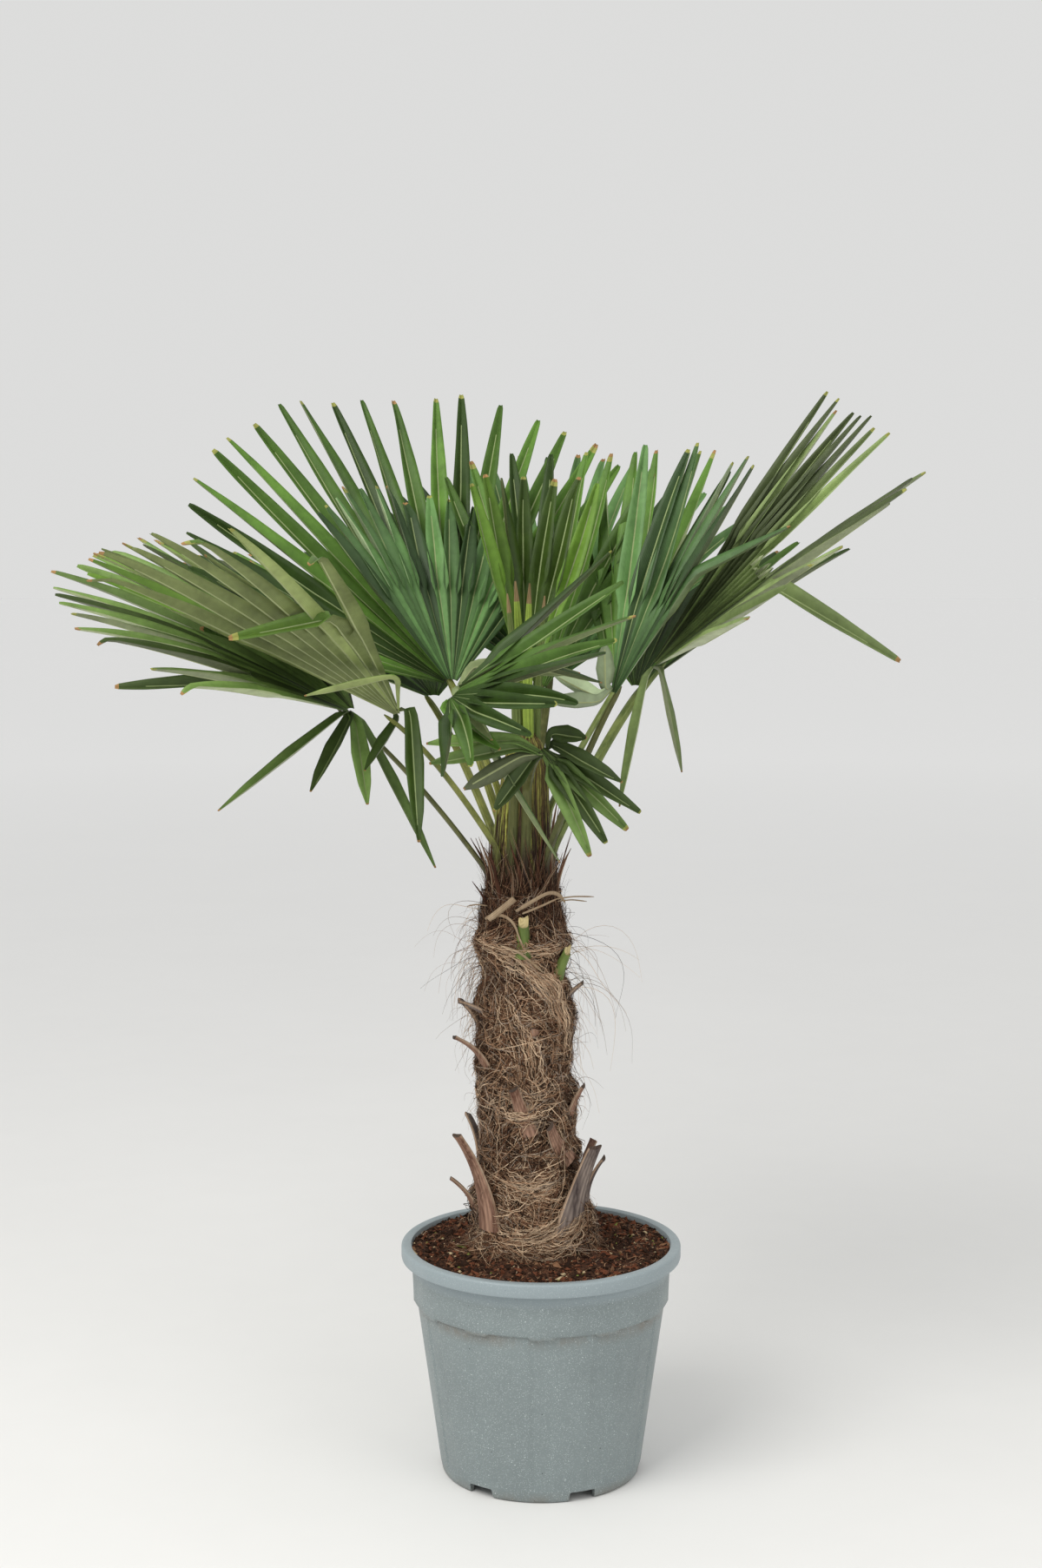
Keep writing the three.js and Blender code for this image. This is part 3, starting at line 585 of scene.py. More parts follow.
class Paint:
    """A material under construction: a Principled surface, its board and its coordinates."""

    def __init__(self, name: str, effects: Effects, roughness: float, specular: float) -> None:
        """Starts the material.

        Args:
            name: The material's name.
            effects: The shared node groups.
            roughness: Its roughness where nothing else feeds it.
            specular: Its specular level.
        """
        self.material = bpy.data.materials.new(name)
        self.material.use_nodes = True
        self.board = Board(self.material.node_tree)
        self.surface = next(n for n in self.board.tree.nodes if n.type == "BSDF_PRINCIPLED")
        self.surface.inputs["Roughness"].default_value = roughness
        self.surface.inputs["Specular IOR Level"].default_value = specular
        self.effects = effects
        self.spots = self.board.add("ShaderNodeTexCoord")

    def feed(self, socket: str, value: NodeSocket) -> None:
        """Joins an output to one of the surface's inputs."""
        self.board.join(value, self.surface.inputs[socket])

    def group(self, tree: NodeTree, inputs: dict) -> Node:
        """Places a shared group, given its values or links by name."""
        return self.board.add("ShaderNodeGroup", inputs, node_tree=tree)

    def height(self) -> NodeSocket:
        """Reads the height over the ground."""
        place = self.board.add("ShaderNodeSeparateXYZ", {0: self.spots.outputs["Object"]})
        return place.outputs[2]

    def mottle(self, low: Colour, high: Colour, scale: float, along: float = 1.0) -> Node:
        """Adds blotches between two colours.

        Args:
            low: One colour.
            high: The other colour.
            scale: How fine the blotches are.
            along: Their scale along Z as a share of that, under 1 for upright streaks.

        Returns:
            The group's node, with outputs Color and Mask.
        """
        where = {"Vector": self.spots.outputs["Object"], "Scale": (1.0, 1.0, along)}
        mapping = self.board.add("ShaderNodeMapping", where)
        return self.group(
            self.effects.mottle,
            {"Vector": mapping.outputs[0], "Scale": scale, "Low": shade(low), "High": shade(high)},
        )

    def smudges(self, scale: float, along: float) -> NodeSocket:
        """Adds soft blotches and gives their mask."""
        return self.mottle((0, 0, 0), (1, 1, 1), scale, along).outputs["Mask"]

    def flecks(self, scale: float, size: float, share: float) -> NodeSocket:
        """Adds small spots.

        Args:
            scale: How many there are along a metre.
            size: Their size as a share of their cell.
            share: The share of cells that has one.

        Returns:
            Their mask.
        """
        where = self.spots.outputs["Object"]
        values = {"Vector": where, "Scale": scale, "Size": size, "Share": share}
        return self.group(self.effects.flecks, values).outputs["Mask"]

    def ridges(self, count: float) -> NodeSocket:
        """Adds lines along the surface's UV map and gives their height."""
        values = {"UV": self.spots.outputs["UV"], "Count": count}
        return self.group(self.effects.ridges, values).outputs["Height"]

    def relief(self, height: NodeSocket, depth: float) -> None:
        """Makes a height from 0 to 1 the surface's bump, with its depth in metres."""
        sockets = {"Height": height, "Distance": depth, "Strength": 1.0}
        bump = self.board.add("ShaderNodeBump", sockets)
        self.feed("Normal", bump.outputs["Normal"])


class Finish:
    """What every finish has: a name, how rough and shiny it is, and what it lays on a paint."""

    name: str
    roughness: float
    shine: float

    def lay(self, paint: Paint) -> None:
        """Lays the finish's own colours and relief."""
        raise NotImplementedError

    def make(self, effects: Effects) -> Material:
        """Builds the material.

        Args:
            effects: The shared node groups.

        Returns:
            The material.
        """
        paint = Paint(self.name, effects, self.roughness, self.shine)
        self.lay(paint)
        return paint.material


@dataclass(frozen=True)
class LeafSkin(Finish):
    """One side of a leaflet: waxy, mottled a little, with fine veins along it."""

    name: str
    colour: Colour
    spread: float = 0.22
    roughness: float = 0.38
    shine: float = 0.24
    veins: float = 26.0
    blotches: float = 22.0
    vein_share: float = 0.16
    vein_shade: float = 0.7
    vein_depth: float = 0.0001

    def lay(self, paint: Paint) -> None:
        """Lays the blotches, and darker veins over them.

        Args:
            paint: The material under construction.
        """
        low, high = darker_lighter(self.colour, self.spread)
        blotch = paint.mottle(low, high, self.blotches).outputs["Color"]
        veins = paint.ridges(self.veins)
        share = paint.board.maths("MULTIPLY", veins, self.vein_share)
        paint.feed("Base Color", paint.board.blend(share, blotch, shade(low, self.vein_shade)))
        paint.relief(veins, self.vein_depth)


@dataclass(frozen=True)
class PlainFibre(Finish):
    """A thin dry fibre, rib or straw of one colour that varies along it."""

    name: str
    colour: Colour
    roughness: float = 0.75
    scale: float = 60.0
    spread: float = 0.25
    shine: float = 0.1

    def lay(self, paint: Paint) -> None:
        """Lays the blotches."""
        low, high = darker_lighter(self.colour, self.spread)
        paint.feed("Base Color", paint.mottle(low, high, self.scale).outputs["Color"])


@dataclass(frozen=True)
class DryWood(Finish):
    """Dry leaf base or sawn face: streaked along its length, ridged and dull."""

    name: str
    low: Colour
    high: Colour
    ridges: float = 14.0
    depth: float = 0.0006
    roughness: float = 0.82
    shine: float = 0.12
    grain: float = 60.0
    stretch: float = 0.18
    line_share: float = 0.4
    line_shade: float = 0.55

    def lay(self, paint: Paint) -> None:
        """Lays the streaks, and darker ridges over them.

        Args:
            paint: The material under construction.
        """
        streaks = paint.mottle(self.low, self.high, self.grain, self.stretch)
        lines = paint.ridges(self.ridges)
        share = paint.board.maths("MULTIPLY", lines, self.line_share)
        dark = shade(self.low, self.line_shade)
        paint.feed("Base Color", paint.board.blend(share, streaks.outputs["Color"], dark))
        paint.relief(paint.board.maths("MULTIPLY", lines, streaks.outputs["Mask"]), self.depth)


@dataclass(frozen=True)
class LiveStalk(Finish):
    """Living leaf stalk or leaf foot, streaked lengthwise, that may darken to its foot."""

    name: str
    low: Colour
    high: Colour
    roughness: float = 0.38
    ridges: float = 9.0
    grain: float = 34.0
    stretch: float = 0.3
    foot: Colour | None = None
    foot_low: float = 0.772
    foot_high: float = 0.828
    ragged: float = 0.05
    foot_finer: float = 2.2
    foot_stretch: float = 0.12
    shine: float = 0.22
    depth: float = 0.0004

    def lay(self, paint: Paint) -> None:
        """Lays the streaks, the dark foot and the ridges.

        Args:
            paint: The material under construction.
        """
        colour = paint.mottle(self.low, self.high, self.grain, self.stretch).outputs["Color"]
        if self.foot is not None:
            colour = self.darkened(paint, colour)
        paint.feed("Base Color", colour)
        paint.relief(paint.ridges(self.ridges), self.depth)

    def darkened(self, paint: Paint, colour: NodeSocket) -> NodeSocket:
        """Darkens the foot up to a ragged edge.

        Args:
            paint: The material under construction.
            colour: The colour of the rest.

        Returns:
            The colour of all of it.
        """
        board = paint.board
        uneven = paint.smudges(self.foot_finer * self.grain, self.foot_stretch)
        edge = board.maths("ADD", paint.height(), board.maths("MULTIPLY", uneven, self.ragged))
        half = self.ragged / 2
        dark = board.between(edge, self.foot_high + half, self.foot_low + half)
        return board.blend(dark, colour, shade(self.foot))


@dataclass(frozen=True)
class SpeckledPlastic(Finish):
    """Moulded plastic from mixed scrap: pale and dark flecks, dull, with a fine skin."""

    name: str = "speckled_plastic"
    colour: Colour = (0.202, 0.24, 0.244)
    spread: float = 0.06
    clouds: float = 9.0
    roughness: float = 0.42
    shine: float = 0.4
    pale: Colour = (0.62, 0.68, 0.69)
    pale_flecks: tuple[tuple[float, float, float, float], ...] = (
        (900.0, 0.4, 0.3, 0.32),
        (430.0, 0.2, 0.24, 0.65),
        (240.0, 0.16, 0.09, 0.8),
    )
    dark: Colour = (0.07, 0.08, 0.085)
    dark_flecks: tuple[float, float, float] = (110.0, 0.085, 0.1)
    # Painted highlight: the rim is painted lighter and bluer, as where it catches more light; its
    # colour, the heights it fades in over and its strength.
    rim: Colour = (0.31, 0.37, 0.4)
    rim_range: Span = (0.262, 0.272)
    rim_share: float = 0.6
    dirt: Colour = (0.17, 0.12, 0.075)
    dirt_share: float = 0.42
    dirt_from: Span = (0.206, 0.218)
    dirt_until: Span = (0.2285, 0.2245)
    foot_range: Span = (0.016, 0.0)
    smudge: float = 26.0
    smudge_stretch: float = 0.5
    rough_range: Span = (0.36, 0.52)
    grain: float = 900.0
    grain_depth: float = 0.00012

    def lay(self, paint: Paint) -> None:
        """Lays the flecks, a painted highlight on the rim, the dirt and the fine grain of the skin.

        Args:
            paint: The material under construction.
        """
        board, height = paint.board, paint.height()
        low, high = darker_lighter(self.colour, self.spread)
        colour = paint.mottle(low, high, self.clouds).outputs["Color"]
        for scale, size, share, cover in self.pale_flecks:
            mask = board.maths("MULTIPLY", paint.flecks(scale, size, share), cover)
            colour = board.blend(mask, colour, shade(self.pale))
        colour = board.blend(paint.flecks(*self.dark_flecks), colour, shade(self.dark))
        # Painted highlight: lightens the rim from its lower edge up.
        rim_highlight = board.maths("MULTIPLY", board.between(height, *self.rim_range), self.rim_share)
        colour = board.blend(rim_highlight, colour, shade(self.rim))
        smudge = paint.smudges(self.smudge, self.smudge_stretch)
        begun, going = (board.between(height, *edge) for edge in (self.dirt_from, self.dirt_until))
        under, foot = board.maths("MULTIPLY", begun, going), board.between(height, *self.foot_range)
        dirt = board.maths("MULTIPLY", board.maths("MAXIMUM", under, foot), smudge)
        dirt = board.maths("MULTIPLY", dirt, self.dirt_share)
        paint.feed("Base Color", board.blend(dirt, colour, shade(self.dirt)))
        least, most = self.rough_range
        paint.feed("Roughness", board.maths("MULTIPLY_ADD", smudge, most - least, least))
        where = {"Vector": paint.spots.outputs["Object"], "Scale": self.grain, "Detail": 2.0}
        paint.relief(board.add("ShaderNodeTexNoise", where).outputs["Fac"], self.grain_depth)


@dataclass(frozen=True)
class CompostFinish(Finish):
    """Damp bark compost: dark brown with redder and paler crumbs."""

    name: str = "compost_ground"
    dark: Colour = (0.02, 0.009, 0.005)
    light: Colour = (0.12, 0.05, 0.026)
    roughness: float = 0.9
    shine: float = 0.2
    clods: float = 170.0
    bits: tuple[float, float, float] = (260.0, 0.22, 0.12)
    bit_shade: float = 2.4
    depth: float = 0.003

    def lay(self, paint: Paint) -> None:
        """Lays the clods and the pale bits on them.

        Args:
            paint: The material under construction.
        """
        clods = paint.mottle(self.dark, self.light, self.clods)
        pale, bits = shade(self.light, self.bit_shade), paint.flecks(*self.bits)
        paint.feed("Base Color", paint.board.blend(bits, clods.outputs["Color"], pale))
        paint.relief(clods.outputs["Mask"], self.depth)


@dataclass(frozen=True)
class PaleFloor(Finish):
    """Plain pale studio floor that fades to white far off."""

    name: str = "pale_floor"
    colour: Colour = (0.775, 0.775, 0.768)
    roughness: float = 0.6
    shine: float = 0.3
    near: float = 1.2
    far: float = 9.0
    clouds: float = 2.0
    cloud_shade: float = 1.02

    def lay(self, paint: Paint) -> None:
        """Lays faint clouds and the far white.

        Args:
            paint: The material under construction.
        """
        lighter = tuple(c * self.cloud_shade for c in self.colour)
        soft = paint.mottle(self.colour, lighter, self.clouds).outputs["Color"]
        where = {0: paint.spots.outputs["Object"]}
        reach = paint.board.add("ShaderNodeVectorMath", where, operation="LENGTH").outputs["Value"]
        share = paint.board.between(reach, self.near, self.far)
        paint.feed("Base Color", paint.board.blend(share, soft, shade((1.0, 1.0, 1.0))))


STALK_FOOT = (0.035, 0.018, 0.012)


class BaseLook(Enum):
    """How an old leaf base has aged: reddish and dry, weathered, or green and freshly cut."""

    RUSSET = DryWood("base_russet", (0.11, 0.05, 0.033), (0.44, 0.27, 0.19))
    GREY = DryWood("base_grey", (0.07, 0.052, 0.05), (0.31, 0.25, 0.215))
    GREEN = LiveStalk("base_green", (0.065, 0.1, 0.022), (0.15, 0.205, 0.05))


class BasePaint(IntEnum):
    """Material indices of the leaf bases' cuts and edges, after those of their looks."""

    SAWN = 3
    FRESH = 4
    MARGIN = 5


class StalkLook(Enum):
    """The greens of the leaf stalks: yellowish, pale, and a darker copy (SHADED) that is painted
    shade for stalks in shadow.
    """

    OLIVE = LiveStalk("stalk_olive", (0.13, 0.15, 0.034), (0.27, 0.28, 0.075), foot=STALK_FOOT)
    SHADED = LiveStalk("stalk_shaded", (0.05, 0.058, 0.016), (0.13, 0.135, 0.045), foot=STALK_FOOT)
    PALE = LiveStalk("stalk_pale", (0.1, 0.14, 0.036), (0.215, 0.26, 0.08), foot=STALK_FOOT)


class Tone(Enum):
    """Greens of a fan: upper side, under side and how warm it is."""

    DEEP = ((0.064, 0.132, 0.02), (0.2, 0.25, 0.105), 1.0)
    BLUISH = ((0.08, 0.153, 0.048), (0.31, 0.36, 0.215), 0.95)
    FRESH = ((0.084, 0.165, 0.022), (0.185, 0.235, 0.085), 1.05)
    # PALE and SUNLIT are lighter copies of the greens, painted light for fans whose faces catch
    # more light (left, right); PALE also lightens the front_low fan that lies in the crown's shade.
    PALE = ((0.108, 0.182, 0.048), (0.235, 0.29, 0.15), 1.05)
    SUNLIT = ((0.14, 0.2, 0.07), (0.245, 0.295, 0.165), 1.05)


class LeafPaint(IntEnum):
    """Material indices of a leaflet's side, after its three tints."""

    RIB = 3
    YELLOWING = 4
    DRY = 5


class FibreTint(IntEnum):
    """Material indices of the dry fibres."""

    STRAW = 0
    TAN = 1
    BROWN = 2
    DARK = 3
    GREY = 4


@dataclass
class Wardrobe:
    """All the finishes of the plant and its pot, made once."""

    bark: Colour = (0.03, 0.014, 0.008)
    # Three tints dealt to leaflets at random: partly the leaves' own variation, partly painted
    # light, the darkest standing in for shade in the crown and the lightest for glints of the lamps
    # on the leaves.
    leaf_tints_and_light: tuple[float, ...] = (0.45, 0.93, 1.6)
    upper_rib: Colour = (0.24, 0.3, 0.13)
    under_rib: Colour = (0.33, 0.37, 0.18)
    yellowing: Colour = (0.3, 0.31, 0.08)
    dry: Colour = (0.34, 0.2, 0.08)

    def __post_init__(self) -> None:
        """Makes the materials."""
        effects = Effects()
        self.plastic = SpeckledPlastic().make(effects)
        self.compost = CompostFinish().make(effects)
        self.floor = PaleFloor().make(effects)
        self.crumbs = [
            PlainFibre(name, colour, 0.9, 200.0).make(effects)
            for name, colour in (
                ("crumb_dark", (0.026, 0.013, 0.008)),
                ("crumb_red", (0.12, 0.043, 0.022)),
                ("crumb_tan", (0.19, 0.1, 0.055)),
                ("crumb_pale", (0.42, 0.33, 0.2)),
                ("moss_bit", (0.19, 0.22, 0.05)),
            )
        ]
        self.fibres = [
            PlainFibre(f"fibre_{tint.name.lower()}", colour, 0.72, 90.0).make(effects)
            for tint, colour in (
                (FibreTint.STRAW, (0.55, 0.4, 0.268)),
                (FibreTint.TAN, (0.3, 0.18, 0.107)),
                (FibreTint.BROWN, (0.12, 0.059, 0.033)),
                (FibreTint.DARK, (0.02, 0.0098, 0.0056)),
                (FibreTint.GREY, (0.265, 0.205, 0.158)),
            )
        ]
        self.core, self.margin, self.sawn, self.fresh_cut, self.straw, self.husk, self.spear_tip = (
            wood.make(effects)
            for wood in (
                DryWood("trunk_core", (0.018, 0.01, 0.007), (0.06, 0.033, 0.021), 30.0, 0.002),
                DryWood("base_margin", (0.24, 0.155, 0.1), (0.5, 0.37, 0.27)),
                DryWood("sawn_end", (0.045, 0.032, 0.026), (0.14, 0.1, 0.075), 8.0, 0.001),
                DryWood("fresh_cut", (0.46, 0.36, 0.16), (0.66, 0.55, 0.3), 8.0, 0.0003),
                DryWood("dry_strip", (0.26, 0.18, 0.11), (0.47, 0.36, 0.24), 10.0, 0.0003),
                DryWood("dry_husk", (0.04, 0.016, 0.01), (0.2, 0.09, 0.055), 12.0, 0.0005),
                DryWood("spear_tip", (0.15, 0.105, 0.05), (0.34, 0.25, 0.13), 8.0, 0.0002),
            )
        )
        self.sheaths = [
            LiveStalk(
                name, low, high, 0.5, 60.0, 240.0, 0.022, self.bark, *foot, 0.12
            ).make(effects)
            for name, low, high, foot in (
                ("sheath_brown", (0.018, 0.009, 0.004), (0.2, 0.15, 0.042), (0.80, 0.92)),
                ("sheath_olive", (0.03, 0.028, 0.007), (0.37, 0.35, 0.078), (0.785, 0.88)),
                ("sheath_green", (0.05, 0.058, 0.011), (0.54, 0.57, 0.12), (0.775, 0.86)),
            )
        ]
        self.spears = [
            LeafSkin("spear_bright", (0.24, 0.33, 0.055), 0.18, 0.42, veins=12.0).make(effects),
            LeafSkin("spear_dull", (0.12, 0.16, 0.045), 0.25, 0.5, veins=12.0).make(effects),
            self.spear_tip,
        ]
        self.bases = [look.value.make(effects) for look in BaseLook]
        self.stalks = [look.value.make(effects) for look in StalkLook]
        self.leaf = {tone: [s.make(effects) for s in self.leaf_skins(tone)] for tone in Tone}

    def leaf_skins(self, tone: Tone) -> list[LeafSkin]:
        """The skins of a fan's two sides: three tints, rib, yellowing end and dry end for each.

        Args:
            tone: Which set of greens the fan has.

        Returns:
            The upper side's six skins and the under side's six, in the same order.
        """
        upper, under, warm = tone.value
        skins = []
        for side, base, rib in (("upper", upper, self.upper_rib), ("under", under, self.under_rib)):
            label = f"{tone.name.lower()}_{side}"
            for number, factor in enumerate(self.leaf_tints_and_light):
                tint = (base[0] * factor * warm, base[1] * factor, base[2] * factor)
                skins.append(LeafSkin(f"{label}_{number}", tint))
            skins += [
                LeafSkin(f"{label}_rib", rib, 0.12, 0.5, veins=2.0),
                LeafSkin(f"{label}_yellowing", self.yellowing, 0.2, 0.55),
                LeafSkin(f"{label}_dry", self.dry, 0.3, 0.7),
            ]
        return skins


# --- pot and compost ---


@dataclass
class NurseryPot:
    """A round pot with a broad rim, a band under it, shallow flutes and a notched foot."""

    finish: Material
    height: float = 0.299
    foot_radius: float = 0.1285
    band_radius: float = 0.160
    band_step: float = 0.0045
    band_bottom: float = 0.226
    rim_radius: float = 0.180
    rim_bottom: float = 0.281
    lip_width: float = 0.011
    wall: float = 0.003
    floor: float = 0.014
    foot_ring: float = 0.008
    pad_radius: float = 0.030
    flutes: int = 12
    flute_share: float = 0.36
    flute_depth: float = 0.0014
    flute_bottom: float = 0.02
    scallop: float = 0.0035
    notches: int = 6
    first_notch: float = -126.5
    notch_width: float = 0.038
    notch_height: float = 0.013
    notch_depth: float = 0.03
    notch_taper: float = 0.9
    notch_round: float = 0.002
    seam_angle: float = -92.0
    seam_height: float = 0.0003
    steps: int = 360
    foot_corner: float = 0.005
    lip_corner: float = 0.0035
    inner_step: float = 0.218
    wall_heights: tuple[float, ...] = (
        0.013, 0.02, 0.027, 0.06, 0.1, 0.14, 0.18, 0.2, 0.212, 0.219, 0.225,
    )
    flute_blur: float = 0.04
    flute_rise: float = 0.008
    scallop_reach: Curve = ((0.205, 0.0), (0.219, 0.8), (0.225, 1.0), (0.229, 1.0), (0.24, 0.0))
    sharp: float = 38.0

    def wall_radius(self, height: float) -> float:
        """Radius of the outer wall at a height, without its flutes."""
        return mix(self.foot_radius, self.band_radius, height / self.band_bottom)

    def outline(self) -> list[tuple[float, float]]:
        """The turned shape's points from the middle of the underside to the middle of the inside.

        Returns:
            (radius, height) of each point.
        """
        band, rim = self.band_radius + self.band_step, self.rim_radius
        round_, edge, quarter = self.foot_corner, self.lip_corner, math.pi / 2
        inner_lip, inner_floor = rim - self.lip_width, self.floor + self.wall
        pad_step = self.foot_radius - self.foot_ring
        return [
            (0.0, 0.0),
            (self.pad_radius, 0.0),
            (self.pad_radius, self.floor),
            (pad_step, self.floor),
            (pad_step, 0.0),
            *(
                (self.foot_radius - round_ + round_ * math.sin(t), round_ - round_ * math.cos(t))
                for t in np.linspace(0, quarter, 5)
            ),
            *((self.wall_radius(z), z) for z in self.wall_heights),
            (band - 0.0012, self.band_bottom + 0.0006),
            (band, self.band_bottom + 0.0026),
            (band + 0.0004, 0.24),
            (band + 0.0014, 0.262),
            (band + 0.002, self.rim_bottom - 0.0012),
            (band + 0.004, self.rim_bottom - 0.0002),
            (rim - 0.0022, self.rim_bottom),
            (rim - 0.0006, self.rim_bottom + 0.0008),
            (rim, self.rim_bottom + 0.003),
            *(
                (rim - edge + edge * math.cos(t), self.height - edge + edge * math.sin(t))
                for t in np.linspace(0, quarter, 6)
            ),
            (inner_lip, self.height),
            (inner_lip - 0.0016, self.height - 0.0008),
            (inner_lip - 0.0024, self.height - 0.003),
            (self.wall_radius(self.inner_step) - self.wall, self.inner_step),
            (self.wall_radius(inner_floor) - self.wall - self.flute_depth, inner_floor),
            (0.0, inner_floor),
        ]

    def groove(self, angle: float) -> float:
        """How far into a flute an angle is, from 0 on the panels to 1 in the flute."""
        place = (angle * self.flutes / FULL_TURN + 0.5) % 1.0 - 0.5
        return float(ease((self.flute_share / 2 - abs(place)) / self.flute_blur + 0.5))

    def press(self, bm: BMesh) -> None:
        """Presses the flutes, the scalloped edge of the band and the parting line into the wall.

        Args:
            bm: The plain turned pot.
        """
        inner = self.wall + self.flute_depth
        seam, half_step = math.radians(self.seam_angle), 0.4 * FULL_TURN / self.steps
        for vert in bm.verts:
            radius, height = math.hypot(vert.co.x, vert.co.y), vert.co.z
            inside = radius < self.wall_radius(height) - 0.6 * inner
            if inside or height < self.foot_corner + 0.001 or height > self.rim_bottom:
                continue
            angle = math.atan2(vert.co.y, vert.co.x)
            depth = self.groove(angle)
            rise = float(ease((height - self.flute_bottom) / self.flute_rise + 0.5))
            below = float(ease((self.band_bottom - height) / 0.001))
            reach = radius - self.flute_depth * depth * rise * below
            if abs(angle - seam) < half_step:
                reach += self.seam_height
            vert.co.x *= reach / radius
            vert.co.y *= reach / radius
            vert.co.z -= self.scallop * depth * float(follow(self.scallop_reach, height))

    def cutters(self) -> Object:
        """Boxes that cut the notches into the foot.

        Returns:
            One object with all the boxes.
        """
        bm = bmesh.new()
        size = (self.notch_depth, self.notch_width, 2 * self.notch_height)
        for k in range(self.notches):
            box = bmesh.ops.create_cube(bm, size=1.0)["verts"]
            bmesh.ops.scale(bm, vec=size, verts=box)
            upper = [v for v in box if v.co.z > 0]
            bmesh.ops.scale(bm, vec=(1.0, self.notch_taper, 1.0), verts=upper)
            bmesh.ops.translate(bm, vec=(self.foot_radius, 0, 0), verts=box)
            turn = math.radians(self.first_notch + 360 / self.notches * k)
            matrix = Matrix.Rotation(turn, 3, "Z")
            bmesh.ops.rotate(bm, cent=(0, 0, 0), matrix=matrix, verts=box)
            top = {e for v in upper for e in v.link_edges if all(w.co.z > 0 for w in e.verts)}
            bmesh.ops.bevel(
                bm, geom=list(top), offset=self.notch_round, segments=2, profile=0.5,
                affect="EDGES", material=-1,
            )
        return piece(bm, "notch_cutters", ())

    def build(self) -> None:
        """Turns the pot, presses its wall, cuts the notches and dresses it."""
        bm = bmesh.new()
        verts = [bm.verts.new((radius, 0.0, height)) for radius, height in self.outline()]
        edges = [bm.edges.new(pair) for pair in zip(verts, verts[1:])]
        bmesh.ops.spin(
            bm, geom=verts + edges, cent=(0, 0, 0), axis=(0, 0, 1), angle=FULL_TURN,
            steps=self.steps, use_merge=True,
        )
        bmesh.ops.remove_doubles(bm, verts=bm.verts, dist=SEAM_MERGE)
        self.press(bm)
        bmesh.ops.recalc_face_normals(bm, faces=bm.faces)
        whole = piece(bm, "pot_whole", [self.finish])
        cutters = self.cutters()
        cut = whole.modifiers.new("notches", "BOOLEAN")
        cut.object = cutters
        cut.operation = "DIFFERENCE"
        bpy.context.view_layer.update()
        graph = bpy.context.evaluated_depsgraph_get()
        bm = bmesh.new()
        bm.from_object(whole, graph)
        for spare in (whole, cutters):
            bpy.data.objects.remove(spare)
        for face in bm.faces:
            face.smooth = True
        harden(bm, self.sharp)
        dress(piece(bm, "nursery_pot", [self.finish]), "pot", "pot")


